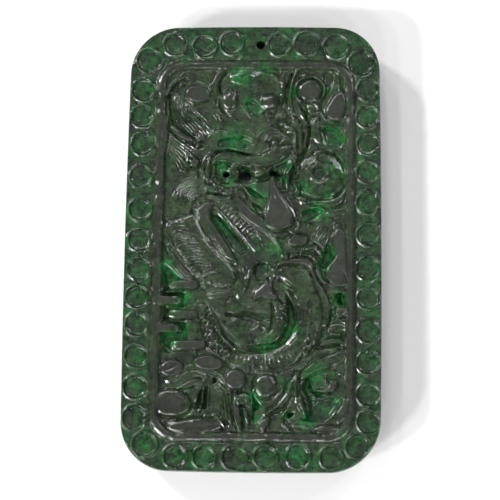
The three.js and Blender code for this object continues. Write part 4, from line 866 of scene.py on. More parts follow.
def carve_haunch(stone):
    stone.swell(-0.5, -12.5, 3.4, 2.8, 0, 0.3)
    stone.dome(-1.3, -14.0, 3.2, 1.9, turn=-14, crown=0.6, edge=1.1, moat=0.05)
    stone.dome(-1.7, -12.4, 1.6, 0.8, turn=-30, crown=0.55, edge=1.0, moat=0)
    stone.dome(2.4, -14.4, 2.2, 1.2, turn=25, crown=0.6, edge=1.1, moat=0)
    stone.hollow([[-4.2, -10.6], [-2.4, -10.9], [-1.2, -10.4], [0.6, -10.8], [2.4, -10.9],
                  [2.8, -11.8], [1.2, -12.4], [-0.4, -11.8], [-2.4, -11.8], [-4.0, -11.6]], 5.1)
    stone.pad([[-4.6, -9.0], [-2.6, -8.8], [-1.3, -9.1], [-1.6, -10.2], [-2.8, -10.7],
               [-4.3, -10.6]], depth=0.6, edge=0.7, moat=0)
    for drop in (0.0, 0.45, 0.9):
        stone.band([[-6.6 + drop * 0.8, -10.2 + drop * 0.2, 0.1, 0.5],
                    [-5.6 + drop * 0.7, -11.4 + drop * 0.2, 0.18, 0.35],
                    [-4.6 + drop * 0.5, -13.4 + drop * 0.3, 0.2, 0.35],
                    [-3.2 + drop * 0.4, -15.0 + drop * 0.4, 0.16, 0.4],
                    [-1.8 + drop * 0.4, -16.2 + drop * 0.4, 0.1, 0.5]])
    stone.band([[-1.4, -9.7, 0.12, 0.5], [0.0, -9.9, 0.24, 0.3], [1.2, -9.3, 0.26, 0.25],
                [2.6, -9.1, 0.16, 0.4]])
    stone.band([[0.4, -10.7, 0.12, 0.5], [1.4, -10.5, 0.22, 0.3], [2.6, -10.7, 0.14, 0.5]])
    stone.band([[0.6, -13.2, 0.1, 0.4], [1.4, -12.8, 0.2, 0.15], [2.8, -12.2, 0.14, 0.35]])
    stone.band([[-0.6, -13.9, 0.1, 0.4], [0.2, -13.5, 0.18, 0.2], [1.2, -12.9, 0.14, 0.3]])
    stone.dome(2.3, -11.7, 0.22, 0.18, crown=0.05, edge=0.5, moat=0)
    stone.dome(1.2, -12.8, 0.2, 0.18, crown=0.0, edge=0.5, moat=0)
    # The shin, a smooth pale column with its knee at the claw.
    stone.band([[3.4, -8.6, 0.35, 0.4], [4.0, -9.8, 0.75, 0.25], [4.2, -11.6, 0.9, 0.25],
                [4.1, -13.4, 0.95, 0.35], [3.0, -15.0, 0.9, 0.5], [1.2, -15.6, 0.6, 0.7]],
               crown=0.5, moat=0.05)
    stone.scores([[3.2, -9.4, 0.05], [4.0, -9.2, 0.09], [4.8, -9.4, 0.05]],
                 [[3.2, -12.2, 0.05], [4.0, -12.0, 0.09], [5.0, -12.2, 0.05]], 7, depth=0.12)
    for x, y, turn in ((5.0, -10.1, -45), (5.25, -11.1, -60), (3.25, -8.2, 0), (3.9, -8.6, 30)):
        stone.dome(x, y, 0.34, 0.17, turn=turn, crown=-0.02, edge=0.5, moat=0)
    # The clenched claw.
    stone.pad([[0.1, -8.9], [0.3, -8.0], [1.1, -7.1], [2.0, -6.2], [2.6, -6.0], [2.9, -6.9],
               [3.3, -7.9], [3.9, -8.6], [3.2, -9.0], [2.4, -8.8], [1.4, -8.6], [0.6, -9.0]],
              depth=0.04, moat=0.3)
    stone.band([[0.3, -7.8, 0.12, 0.2], [1.1, -7.0, 0.24, -0.02], [2.0, -6.2, 0.14, 0.2]])
    stone.dome(2.1, -5.7, 0.3, 0.42, turn=-30, crown=0.0, edge=0.6, moat=0)
    stone.band([[3.4, -5.2, 0.25, 0.4], [2.9, -6.4, 0.35, 0.3], [3.2, -7.6, 0.3, 0.35]],
               profile=crowned, moat=0)
    # The flat of the thigh and the hip behind it.
    stone.band([[-7.0, -8.4, 0.4, 0.7], [-5.6, -8.3, 0.6, 0.35], [-4.0, -8.1, 0.6, 0.3],
                [-2.4, -7.9, 0.45, 0.4], [-1.8, -8.8, 0.3, 0.6]], profile=crowned, crown=0.35,
               moat=0)


# --- Cloud comb, waves and scrolls -----------------------------------------------------------
# Below and beside the dragon: a bank of cloud bars that mesh like a comb, rounded waves
# and reeds at the left, and curling scrolls on one stem at the right.


def carve_comb(stone):
    stone.hollow([[-14.2, -2.6], [-12.8, -3.4], [-11.0, -5.0], [-9.8, -6.4], [-9.9, -10.0],
                  [-9.5, -13.0], [-9.3, -15.6], [-9.6, -17.0], [-13.9, -17.2], [-14.2, -10.0]],
                 4.7, 0.9)
    # A plain strip of the ground joins the roots of the right-hand bars.
    stone.band([[-8.6, -7.4, 0.8, 0.7], [-9.0, -9.4, 0.9, 0.75], [-9.0, -12.4, 0.8, 0.8],
                [-8.5, -15.4, 0.7, 0.75], [-7.8, -17.2, 0.6, 0.6]], crown=0.35, moat=0)
    half = 0.74
    for start, end, y in ((-8.9, -12.2, -6.7), (-15.2, -11.6, -9.1), (-8.9, -12.2, -11.3),
                          (-15.2, -11.8, -13.4), (-7.6, -11.7, -16.0)):
        stone.band([[start, y + 0.05, half, 0.1], [(start + end) / 2, y, half, 0.04],
                    [end, y - 0.05, half * 0.92, 0.1]], profile=flat, crown=0.3, moat=0.1)
        lean = math.copysign(0.3, end - start)
        end_gap = np.hypot((stone.x - end - lean) / 0.55, (stone.y - y) / 0.6)
        stone.h -= 0.5 * np.exp(-end_gap ** 2)
    for y in (-7.75, -10.25, -12.35):
        stone.band([[-14.0, y - 0.1, 0.1, 0.6], [-12.4, y + 0.05, 0.16, 0.45],
                    [-10.0, y - 0.05, 0.1, 0.6]], moat=0)
    stone.band([[-13.2, -16.3, 0.1, 0.5], [-12.2, -16.75, 0.17, 0.2], [-10.2, -16.85, 0.17, 0.2],
                [-8.2, -17.0, 0.12, 0.4]])
    stone.band([[-8.3, -17.1, 0.1, 0.2], [-8.65, -17.8, 0.22, 0.0], [-8.9, -18.4, 0.1, 0.3]])
    stone.dome(-14.25, -7.85, 0.28, 0.22, crown=0.0, edge=0.5, moat=0)
    stone.dome(-7.6, -7.7, 0.3, 0.22, crown=0.0, edge=0.5, moat=0)


def carve_waves(stone):
    stone.stud(-12.1, -19.6, 1.85, 1.35, turn=8, depth=0.05)
    stone.scores([[-13.4, -20.0, 0.08], [-12.2, -19.7, 0.1], [-10.9, -18.9, 0.06]],
                 [[-13.0, -20.6, 0.08], [-11.9, -20.4, 0.1], [-10.7, -19.5, 0.06]], 2, 0.15)
    stone.stud(-6.5, -18.75, 2.3, 1.25, turn=-6, depth=0.08)
    stone.stud(-2.3, -21.25, 1.6, 1.65, depth=0.04)
    # Reeds: long crossing blades.
    for drop, depth in ((0.0, 0.25), (0.55, 0.4)):
        stone.band([[-13.6, -20.9 - drop * 0.6, 0.14, 0.6], [-12.4, -21.5 - drop * 0.5, 0.2, depth],
                    [-11.2, -20.9 - drop, 0.2, depth], [-10.0, -19.8 - drop, 0.2, depth],
                    [-8.6, -19.3 - drop, 0.2, depth], [-7.2, -19.7 - drop, 0.2, depth],
                    [-5.6, -20.1 - drop, 0.18, depth], [-4.6, -20.4 - drop, 0.18, depth],
                    [-3.9, -21.4 - drop, 0.18, depth], [-3.3, -22.6 - drop * 0.4, 0.14, 0.5]])
    stone.pad([[-11.4, -22.8], [-10.4, -22.0], [-9.0, -21.1], [-7.6, -21.1], [-7.2, -21.8],
               [-8.4, -22.3], [-9.6, -22.6]], depth=0.25)
    stone.band([[-8.9, -22.2, 0.3, 0.5], [-7.6, -22.0, 0.4, 0.35], [-6.7, -20.9, 0.3, 0.4],
                [-6.8, -19.9, 0.2, 0.5]], profile=crowned)
    stone.hollow([[-8.0, -22.9], [-6.8, -22.0], [-5.4, -22.0], [-5.0, -21.0], [-5.9, -20.7],
                  [-6.2, -23.6], [-6.6, -25.8], [-8.4, -25.6]], 4.6)
    stone.sheaf([[-7.8, -22.6, 0.12, 0.8], [-8.2, -24.2, 0.2, 0.5], [-8.6, -25.6, 0.2, 0.4],
                 [-9.4, -27.0, 0.14, 0.5]],
                [[-6.4, -22.0, 0.12, 0.6], [-6.4, -23.6, 0.2, 0.4], [-6.5, -25.4, 0.2, 0.4],
                 [-6.9, -26.8, 0.14, 0.5]], 3)
    stone.band([[-5.6, -22.6, 0.14, 0.5], [-5.1, -21.8, 0.2, 0.35], [-4.6, -21.2, 0.14, 0.5]])
    stone.sheaf([[-5.0, -23.0, 0.14, 0.4], [-4.4, -24.0, 0.24, 0.15], [-4.2, -25.8, 0.2, 0.3],
                 [-3.8, -28.2, 0.12, 0.5]],
                [[-4.6, -21.3, 0.14, 0.4], [-3.5, -22.4, 0.22, 0.3], [-2.9, -24.6, 0.2, 0.35],
                 [-2.3, -28.6, 0.12, 0.5]], 4)
    stone.band([[-5.1, -22.9, 0.12, 0.4], [-4.6, -23.4, 0.22, 0.05], [-4.2, -24.1, 0.14, 0.3]],
               moat=0)
    stone.dome(-12.1, -24.9, 3.0, 2.1, turn=-6, crown=0.02, edge=0.6)
    stone.scores([[-11.2, -23.3, 0.08], [-9.9, -24.2, 0.12], [-9.3, -25.2, 0.08]],
                 [[-10.6, -23.2, 0.08], [-9.4, -24.0, 0.1], [-8.9, -24.8, 0.06]], 2, 0.18)
    stone.band([[-14.3, -25.2, 0.14, 0.4], [-13.7, -25.9, 0.2, 0.1], [-13.8, -26.8, 0.14, 0.4]])
    stone.dome(-8.2, -28.3, 4.2, 1.25, turn=3, crown=0.02, edge=0.6)
    stone.band([[-12.6, -27.9, 0.12, 0.5], [-11.6, -27.7, 0.16, 0.3], [-10.2, -28.0, 0.12, 0.4]])
    stone.band([[-9.9, -29.0, 0.1, 0.4], [-9.3, -28.7, 0.14, 0.2], [-9.1, -28.2, 0.1, 0.4]], moat=0)
    stone.band([[-5.6, -26.6, 0.12, 0.4], [-4.9, -27.0, 0.2, 0.02], [-4.3, -27.8, 0.2, 0.02],
                [-3.8, -28.7, 0.18, 0.05]])
    # The banded shell between the reeds, and the post under it.
    stone.band([[-2.3, -23.4, 0.3, 0.4], [-2.1, -25.4, 0.5, 0.12], [-1.9, -27.2, 0.55, 0.12],
                [-1.5, -28.8, 0.35, 0.4]], profile=flat)
    stone.dome(-1.1, -24.2, 1.05, 1.0, crown=0.3, edge=0.8)
    for step in range(4):
        y = -23.45 - step * 0.42
        stone.band([[-1.9 + step * 0.25, y - 0.25, 0.1, 0.3], [-1.0, y + 0.05, 0.15, 0.05],
                    [-0.2, y - 0.3, 0.1, 0.2]], moat=0)
    stone.band([[-1.0, -25.6, 0.3, 0.4], [-0.6, -26.8, 0.4, 0.15], [-0.4, -27.8, 0.3, 0.3]],
               profile=crowned)
    stone.hollow([[-0.1, -22.4], [0.6, -22.8], [0.9, -24.0], [1.8, -25.2], [0.8, -26.4],
                  [0.9, -28.0], [0.1, -27.4], [0.1, -25.0]], 4.3)
    # A boulder, grooved on its right flank.
    stone.dome(2.3, -22.1, 1.8, 1.95, crown=0.1, edge=0.8)
    stone.sheaf([[2.8, -20.2, 0.1, 0.5], [3.3, -21.8, 0.15, 0.35], [2.8, -23.4, 0.1, 0.5]],
                [[4.6, -20.4, 0.1, 0.6], [4.7, -22.4, 0.15, 0.5], [3.6, -24.4, 0.1, 0.6]], 4)
    stone.band([[0.8, -20.1, 0.14, 0.5], [2.4, -20.0, 0.2, 0.35], [4.0, -20.3, 0.16, 0.5]])


def carve_scrolls(stone):
    stone.hollow([[8.2, -20.8], [9.4, -20.2], [9.6, -22.4], [11.0, -23.4], [12.8, -23.6],
                  [13.6, -24.6], [12.4, -26.6], [11.0, -27.6], [9.0, -27.7], [7.6, -27.4],
                  [8.8, -26.0], [8.4, -24.0], [7.6, -22.4]], 4.35)
    # The stem, its leaf and its small scroll.
    stone.band([[1.4, -27.6, 0.14, 0.5], [2.4, -26.5, 0.24, 0.2], [3.6, -25.6, 0.28, 0.15],
                [4.4, -25.0, 0.3, 0.3]])
    stone.band([[3.0, -26.0, 0.3, 0.6], [4.6, -24.9, 0.5, 0.45], [5.7, -23.4, 0.55, 0.4],
                [6.3, -21.8, 0.5, 0.45], [7.4, -20.2, 0.4, 0.5]], lines=3, cut=0.15)
    stone.pad([[1.2, -28.2], [1.6, -27.4], [2.3, -26.9], [3.0, -26.9], [2.9, -27.7],
               [2.4, -28.6], [1.9, -29.3]], depth=0.04)
    stone.band([[7.5, -20.2, 0.18, 0.4], [7.0, -21.2, 0.24, 0.3], [6.85, -22.6, 0.26, 0.25],
                [7.0, -24.0, 0.3, 0.2], [7.4, -25.0, 0.3, 0.2]], profile=crowned)
    stone.band([[7.9, -20.6, 0.12, 0.6], [7.3, -21.6, 0.16, 0.4], [7.4, -22.6, 0.16, 0.4],
                [7.6, -23.4, 0.12, 0.5]])
    stone.pad([[7.3, -23.8], [7.8, -23.6], [8.1, -24.6], [8.4, -25.6], [8.4, -26.8],
               [7.9, -26.4], [7.5, -25.6], [7.1, -24.8]], depth=0.0, edge=0.5, crown=0.4)
    stone.hollow([[5.4, -26.2], [6.3, -25.9], [7.0, -26.3], [6.4, -27.0], [5.6, -27.2]], 4.3)
    stone.band([[7.0, -25.9, 0.16, 0.4], [6.3, -25.6, 0.22, 0.3], [5.4, -25.9, 0.24, 0.25],
                [4.9, -26.8, 0.24, 0.1], [5.0, -27.8, 0.24, 0.1], [5.6, -28.4, 0.22, 0.1],
                [6.0, -29.0, 0.16, 0.3]])
    stone.band([[5.7, -27.3, 0.12, 0.5], [6.5, -27.5, 0.18, 0.3], [7.2, -27.2, 0.16, 0.3],
                [7.7, -26.6, 0.12, 0.5]])
    # The tail sweeps up to the rim.
    stone.band([[7.8, -20.9, 0.3, 0.7], [8.6, -20.1, 0.6, 0.6], [10.0, -19.0, 0.9, 0.5],
                [11.6, -18.4, 0.95, 0.45], [13.0, -18.0, 0.8, 0.4], [14.2, -17.0, 0.6, 0.3]],
               crown=0.4)
    stone.band([[8.3, -19.8, 0.14, 0.5], [9.8, -18.5, 0.18, 0.3], [11.4, -17.7, 0.2, 0.3],
                [12.8, -17.2, 0.2, 0.2], [13.9, -16.5, 0.2, 0.08], [14.0, -15.9, 0.14, 0.4]])
    stone.band([[12.4, -19.4, 0.2, 0.5], [13.6, -18.6, 0.25, 0.35], [14.6, -17.4, 0.25, 0.2],
                [14.7, -16.4, 0.18, 0.3]])
    # The large curl: a hook round a comma, with rays behind it.
    stone.scores([[8.6, -22.2, 0.08], [10.0, -22.4, 0.1], [11.2, -22.0, 0.06]],
                 [[9.4, -25.4, 0.08], [10.4, -24.2, 0.1], [11.6, -23.4, 0.06]], 6, 0.2)
    stone.band([[14.4, -23.0, 0.3, 0.3], [14.3, -21.4, 0.3, 0.25], [13.7, -20.3, 0.28, 0.25],
                [12.6, -19.9, 0.26, 0.3], [11.6, -20.2, 0.26, 0.3], [11.3, -21.0, 0.24, 0.15],
                [11.7, -21.8, 0.18, 0.3]])
    stone.pad([[12.0, -21.2], [12.9, -21.1], [13.3, -21.9], [12.9, -22.8], [11.9, -23.2],
               [10.6, -23.1], [10.0, -22.7], [11.0, -22.6], [11.8, -22.0]], depth=0.12)
    # Flat clouds in the corner.
    stone.pad([[14.0, -23.8], [13.7, -25.0], [13.0, -26.0], [12.8, -27.2], [13.3, -28.0],
               [14.2, -27.4], [14.9, -26.0], [15.1, -24.2]], depth=0.03)
    stone.pad([[9.6, -28.5], [11.0, -28.0], [12.6, -28.1], [13.6, -28.6], [12.4, -29.0],
               [10.6, -29.1]], depth=0.05)
    stone.band([[12.0, -28.0, 0.1, 0.3], [12.7, -28.15, 0.16, 0.05], [13.4, -28.5, 0.14, 0.15]],
               moat=0)
    stone.band([[6.2, -28.2, 0.16, 0.5], [7.6, -28.1, 0.24, 0.4], [9.0, -28.5, 0.2, 0.5]])
    stone.band([[6.6, -28.8, 0.16, 0.5], [7.8, -28.9, 0.22, 0.4], [9.2, -29.1, 0.16, 0.5]])


SCRATCHES = 1500


def carve_wear(stone):
    """Tool marks and scratches all over, in no order."""
    chance = np.random.default_rng(23)
    for _ in range(SCRATCHES):
        x = chance.uniform(-19.5, 19.5)
        y = chance.uniform(-34.8, 34.8)
        angle = chance.uniform(0, math.pi)
        length = chance.uniform(0.25, 1.1)
        dx, dy = math.cos(angle) * length / 2, math.sin(angle) * length / 2
        bend = chance.uniform(-0.3, 0.3)
        width = chance.uniform(0.05, 0.12)
        stone.score([[x - dx, y - dy, 0.03], [x - dy * bend, y + dx * bend, width],
                     [x + dx, y + dy, 0.03]], depth=chance.uniform(0.015, 0.07))


# --- Cutting and meshing the stone --------------------------------------------------------
# The face is one fine grid, lowered to the carving. Its rim is drawn down into the sides
# and closed with a flat back. The cord hole goes right through, and the three holes in the
# mouth are blind.

CORD_HOLE = (0.9, 32.1, 0.72)
MOUTH_HOLES = ((-4.25, 10.9, 0.55), (-1.2, 10.85, 0.95), (3.1, 11.2, 0.6))
MOUTH_HOLE_FLOOR = 1.6
WORN_EDGE = 0.075  # how far every edge of the carving is worn round
WAVES = ((0.05, 5, 40, 1.2, 5.0), (0.016, 6, 60, 0.35, 1.1))  # height, seed, count, lengths


def carved_heights(x, y, inset):
    """The whole carving, in the order in which it is cut."""
    inside = rim_distance(x, y)
    ground = np.where(inside > RIM_WIDTH / 2, PANEL_FLOOR, BORDER_FLOOR)
    stone = Carving(x, y, ground.astype(float))
    for carve in (carve_head, carve_nose, carve_mane, carve_whisker, carve_top_clouds,
                  carve_pearl, carve_side_clouds, carve_mouth, carve_belly, carve_wing,
                  carve_foreleg, carve_haunch, carve_coil, carve_comb, carve_waves,
                  carve_scrolls):
        carve(stone)
    stone.h = np.where(inside > RIM_WIDTH * 0.4, stone.h, BORDER_FLOOR)
    carve_rim(stone)
    carve_rings(stone)
    carve_wear(stone)
    step = HEIGHT / (len(x) - 1)
    stone.h = soften(stone.h, WORN_EDGE / step)
    worn = np.clip((FACE - stone.h) / 0.4, 0.3, 1)
    for height, seed, count, shortest, longest in WAVES:
        stone.h += height * wavering(x, y, seed, count, shortest, longest) * worn
    over = np.clip(1 - inset / EDGE_ROUND, 0, 1)
    shoulder = EDGE_TOP + (FACE - EDGE_TOP) * np.sqrt(1 - over ** 2)
    return np.minimum(np.minimum(stone.h, shoulder), FACE)


def stone_mesh():
    columns = int(WIDTH / PITCH) | 1
    rows = int(HEIGHT / PITCH) | 1
    x, y, inset = outline_places(columns, rows)
    heights = carved_heights(x, y, inset)
    bm = bmesh.new()
    bmesh.ops.create_grid(bm, x_segments=columns - 1, y_segments=rows - 1, size=1)
    mesh = bpy.data.meshes.new("carved_stone")
    bm.to_mesh(mesh)
    bm.free()
    places = np.empty(len(mesh.vertices) * 3)
    mesh.vertices.foreach_get("co", places)
    places = places.reshape(-1, 3)
    column = np.rint((places[:, 0] + 1) / 2 * (columns - 1)).astype(int)
    row = np.rint((places[:, 1] + 1) / 2 * (rows - 1)).astype(int)
    places[:] = np.stack([x[row, column], y[row, column], heights[row, column]], 1) * MM
    mesh.vertices.foreach_set("co", places.ravel())
    mesh.update()
    return mesh


SIDE_TURNS = (10, 22, 34, 46, 58, 70, 80, 90)  # degrees round the tuck of the side


def close_below(mesh):
    """Draws the rim of the face down the sides, tucked in towards the back, and closes it."""
    bm = bmesh.new()
    bm.from_mesh(mesh)
    edges = [edge for edge in bm.edges if edge.is_boundary]
    before = 0.0
    for turn in SIDE_TURNS:
        angle = math.radians(turn)
        inset = SIDE_TUCK * (1 - math.cos(angle))
        made = bmesh.ops.extrude_edge_only(bm, edges=edges)["geom"]
        edges = [part for part in made if isinstance(part, bmesh.types.BMEdge)]
        verts = [part for part in made if isinstance(part, bmesh.types.BMVert)]
        for vert in verts:
            vert.co.z = EDGE_TOP * (1 - math.sin(angle)) * MM
        narrower = ((WIDTH / 2 - inset) / (WIDTH / 2 - before),
                    (HEIGHT / 2 - inset) / (HEIGHT / 2 - before), 1)
        bmesh.ops.scale(bm, verts=verts, vec=narrower)
        before = inset
    bmesh.ops.contextual_create(bm, geom=edges)
    bmesh.ops.recalc_face_normals(bm, faces=bm.faces)
    bm.to_mesh(mesh)
    bm.free()


def finished(piece):
    """The piece with its modifiers worked into its mesh."""
    graph = bpy.context.evaluated_depsgraph_get()
    mesh = bpy.data.meshes.new_from_object(piece.evaluated_get(graph))
    piece.modifiers.clear()
    piece.data = mesh
    return piece


def drill(piece, x, y, radius, floor):
    """Cuts one round hole down from the face with a boolean."""
    bm = bmesh.new()
    depth = FACE + 1 - floor
    place = Matrix.Translation(Vector((x, y, floor + depth / 2)) * MM)
    bmesh.ops.create_cone(bm, cap_ends=True, segments=48, radius1=radius * MM * 0.94,
                          radius2=radius * MM, depth=depth * MM, matrix=place)
    mesh = bpy.data.meshes.new("drill")
    bm.to_mesh(mesh)
    bm.free()
    tool = bpy.data.objects.new("drill", mesh)
    bpy.context.collection.objects.link(tool)
    cut = piece.modifiers.new("hole", "BOOLEAN")
    cut.object, cut.operation, cut.solver = tool, "DIFFERENCE", "EXACT"
    finished(piece)
    bpy.data.objects.remove(tool)


plaque = bpy.data.objects.new("jade_plaque", stone_mesh())
bpy.context.collection.objects.link(plaque)
close_below(plaque.data)
thin = plaque.modifiers.new("thin", "DECIMATE")
thin.ratio = min(1.0, TRIANGLES / (2 * len(plaque.data.polygons)))
finished(plaque)
drill(plaque, *CORD_HOLE, -1)
for x, y, radius in MOUTH_HOLES:
    drill(plaque, x, y, radius, MOUTH_HOLE_FLOOR)
plaque.data.polygons.foreach_set("use_smooth", [True] * len(plaque.data.polygons))
plaque.data.set_sharp_from_angle(angle=math.radians(60))
print("stone faces", len(plaque.data.polygons))


class Wire:
    """A socket of a material, so that shader maths reads as an expression."""

    def __init__(self, tree, socket):
        self.tree, self.socket = tree, socket

    def node(self, kind, settings=None, out=0, **inputs):
        """Adds a node, sets it up and returns one of its outputs.

        An input is named by its label, or by its place after an underscore.
        """
        made = self.tree.nodes.new(kind)
        for name, value in (settings or {}).items():
            setattr(made, name, value)
        for name, value in inputs.items():
            socket = made.inputs[int(name[1:]) if name[0] == "_" else name.replace("_", " ")]
            if isinstance(value, Wire):
                self.tree.links.new(value.socket, socket)
            else:
                socket.default_value = value
        return Wire(self.tree, made.outputs[out])

    def math(self, operation, first, second=0.0, clamp=False):
        return self.node("ShaderNodeMath", {"operation": operation, "use_clamp": clamp},
                         _0=first, _1=second)

    def __add__(self, other):
        return self.math("ADD", self, other)

    def __sub__(self, other):
        return self.math("SUBTRACT", self, other)

    def __rsub__(self, other):
        return self.math("SUBTRACT", other, self)

    def __mul__(self, other):
        return self.math("MULTIPLY", self, other)

    __radd__ = __add__
    __rmul__ = __mul__

    def clamped(self):
        """Limits the value to between 0 and 1."""
        return self.math("ADD", self, 0.0, clamp=True)

    def blend(self, first, second):
        """Mixes two colours by this value."""
        return self.node("ShaderNodeMix", {"data_type": "RGBA"}, out=2, _0=self,
                         _6=first, _7=second)

    def into(self, socket):
        self.tree.links.new(self.socket, socket)


# Where the stone shows clear emerald: x, y, radius and strength, in millimetres.
EMERALD = (
    (-2.2, 27.0, 1.8, 1.0), (1.8, 28.0, 1.6, 0.6), (-0.9, 22.2, 1.2, 1.0),
    (0.6, 21.4, 1.0, 0.8), (-3.0, 16.6, 2.2, 0.9), (-5.0, 12.2, 1.2, 0.9),
    (-3.8, 9.8, 1.1, 0.7), (5.2, 12.4, 1.1, 0.9), (4.6, 10.2, 0.8, 0.8), (0.2, 8.4, 1.3, 0.8),
    (1.4, 7.4, 0.9, 0.9), (0.6, 5.4, 1.2, 0.4), (6.2, 24.4, 1.0, 0.6), (12.4, 17.2, 1.9, 0.9),
    (11.4, 24.6, 1.0, 0.5), (12.6, 12.0, 2.4, 0.5), (8.0, 8.8, 1.6, 0.6), (11.8, 7.6, 1.4, 0.5),
    (10.2, 5.2, 1.8, 0.8), (8.4, 4.4, 1.2, 0.6), (-5.0, 3.0, 1.6, 0.5), (3.4, -0.8, 1.6, 0.7),
    (0.6, -0.4, 1.4, 0.3), (11.8, -1.8, 1.2, 0.7), (11.0, -3.6, 1.0, 0.7),
    (-13.2, -3.8, 1.4, 1.0), (-12.4, -5.2, 1.4, 1.0), (-10.4, -8.8, 1.6, 0.9),
    (-11.6, -10.2, 1.4, 0.7), (-12.6, -15.0, 1.4, 1.0), (-10.6, -13.6, 1.4, 0.6),
    (13.2, -8.8, 1.3, 0.8), (6.2, -13.6, 1.4, 0.6), (2.6, -16.0, 1.6, 0.7),
    (0.5, -23.8, 1.2, 1.0), (1.0, -24.9, 1.0, 0.9), (0.9, -27.2, 0.9, 0.7),
    (9.8, -20.4, 2.0, 0.6), (9.6, -23.4, 2.0, 0.6), (13.2, -24.2, 1.0, 0.6),
    (8.6, -27.3, 1.5, 0.9), (5.7, -26.6, 0.8, 0.9), (12.2, -20.6, 0.9, 0.5),
    (-17.4, 24.8, 1.6, 0.6), (-18.4, 15.6, 1.5, 0.7), (-17.8, 5.4, 1.7, 0.7),
    (-17.6, 0.8, 1.7, 0.4), (-18.2, -17.8, 1.6, 0.4), (-17.6, -22.0, 1.5, 0.6),
    (-16.0, -31.0, 1.7, 0.7), (-11.4, -32.8, 1.7, 0.6), (2.4, -33.0, 1.8, 0.6),
    (7.2, -32.8, 1.8, 0.9), (9.8, -34.2, 1.2, 0.7), (17.9, 20.2, 1.6, 0.7),
    (18.2, 11.4, 1.7, 0.6), (17.9, 6.6, 1.5, 0.5), (17.8, 1.6, 1.5, 0.5),
    (18.0, -13.6, 1.4, 0.5), (18.6, -23.2, 1.2, 0.5), (18.4, -27.6, 1.2, 0.6),
    (-16.6, 29.6, 1.8, 0.5), (-11.2, 29.8, 1.4, 0.4), (-3.6, 32.4, 1.8, 0.5),
    (-1.8, 31.0, 1.4, 0.6), (4.0, 31.0, 1.6, 0.4), (13.9, -29.4, 1.0, 0.6),
    (-19.4, -0.5, 1.2, 0.5), (-19.2, -29.8, 1.5, 0.5),
)


# And where it is darker, partly the stone's own darker tone and partly painted shade, on the border
# and in several hollows.
SHADE_PATCHES = (
    (-15.8, -20.0, 2.0, 0.5), (-12.0, -25.0, 3.0, 0.4), (10.0, -24.5, 3.5, 0.7),
    (1.4, -4.4, 2.2, 0.6), (6.2, -11.0, 1.8, 0.6), (-6.8, -24.0, 1.6, 0.7),
    (13.5, -16.0, 2.0, 0.3), (3.4, 10.6, 1.4, 0.6), (-13.8, -12.0, 1.6, 0.3),
    (18.2, 29.0, 2.6, 0.9), (18.6, -20.0, 2.6, 0.8), (-18.0, -10.5, 3.0, 0.8),
    (6.6, -33.4, 3.0, 0.7), (-2.6, -33.2, 2.0, 0.9), (8.4, 32.4, 2.2, 0.8),
)


def paint_stone(mesh):
    """Stores, at every vertex, how clear the stone is there and how dark it is painted, partly its
    own darker tone and partly painted shade.
    """
    places = np.empty(len(mesh.vertices) * 3)
    mesh.vertices.foreach_get("co", places)
    x, y, z = places.reshape(-1, 3).T / MM
    border = np.clip(-rim_distance(x, y) / 0.8, 0, 1)
    clear = 0.34 * border + 0.22 * wavering(x, y, 31, 30, 2.0, 9.0)
    for patch_x, patch_y, radius, strength in EMERALD:
        gap = np.hypot(x - patch_x, y - patch_y) / radius
        clear = np.maximum(clear, strength * np.exp(-(gap ** 2) * 1.1))
    clear = np.clip(clear, 0, 1)
    # Painted shade over the whole border, with the listed patches and some random tone on top.
    dark = 0.5 * border
    for patch_x, patch_y, radius, strength in SHADE_PATCHES:
        gap = np.hypot(x - patch_x, y - patch_y) / radius
        dark = np.maximum(dark, strength * np.exp(-(gap ** 2) * 1.1))
    dark = np.clip(dark + 0.3 * wavering(x, y, 32, 30, 1.5, 7.0), 0, 1)
    for name, values in (("clear", clear * np.clip((z - 3) / 1.5, 0, 1)), ("dark", dark)):
        mesh.attributes.new(name, "FLOAT", "POINT").data.foreach_set("value", values)


OLIVE_DARK, OLIVE_PALE = (0.007, 0.014, 0.006, 1), (0.034, 0.060, 0.024, 1)
EMERALD_DARK, EMERALD_PALE = (0.004, 0.034, 0.010, 1), (0.014, 0.225, 0.042, 1)
# Charcoal greys for the painted reflection of the overhead light on the face-level flats.
REFLECTION_GREY_DARK, REFLECTION_GREY_PALE = (0.014, 0.016, 0.012, 1), (0.034, 0.036, 0.029, 1)
# How far the painted shade dims each colour.
SHADE_DIMMING = (0.3, 0.36, 0.3)  # what is left of each colour where the stone is darkest


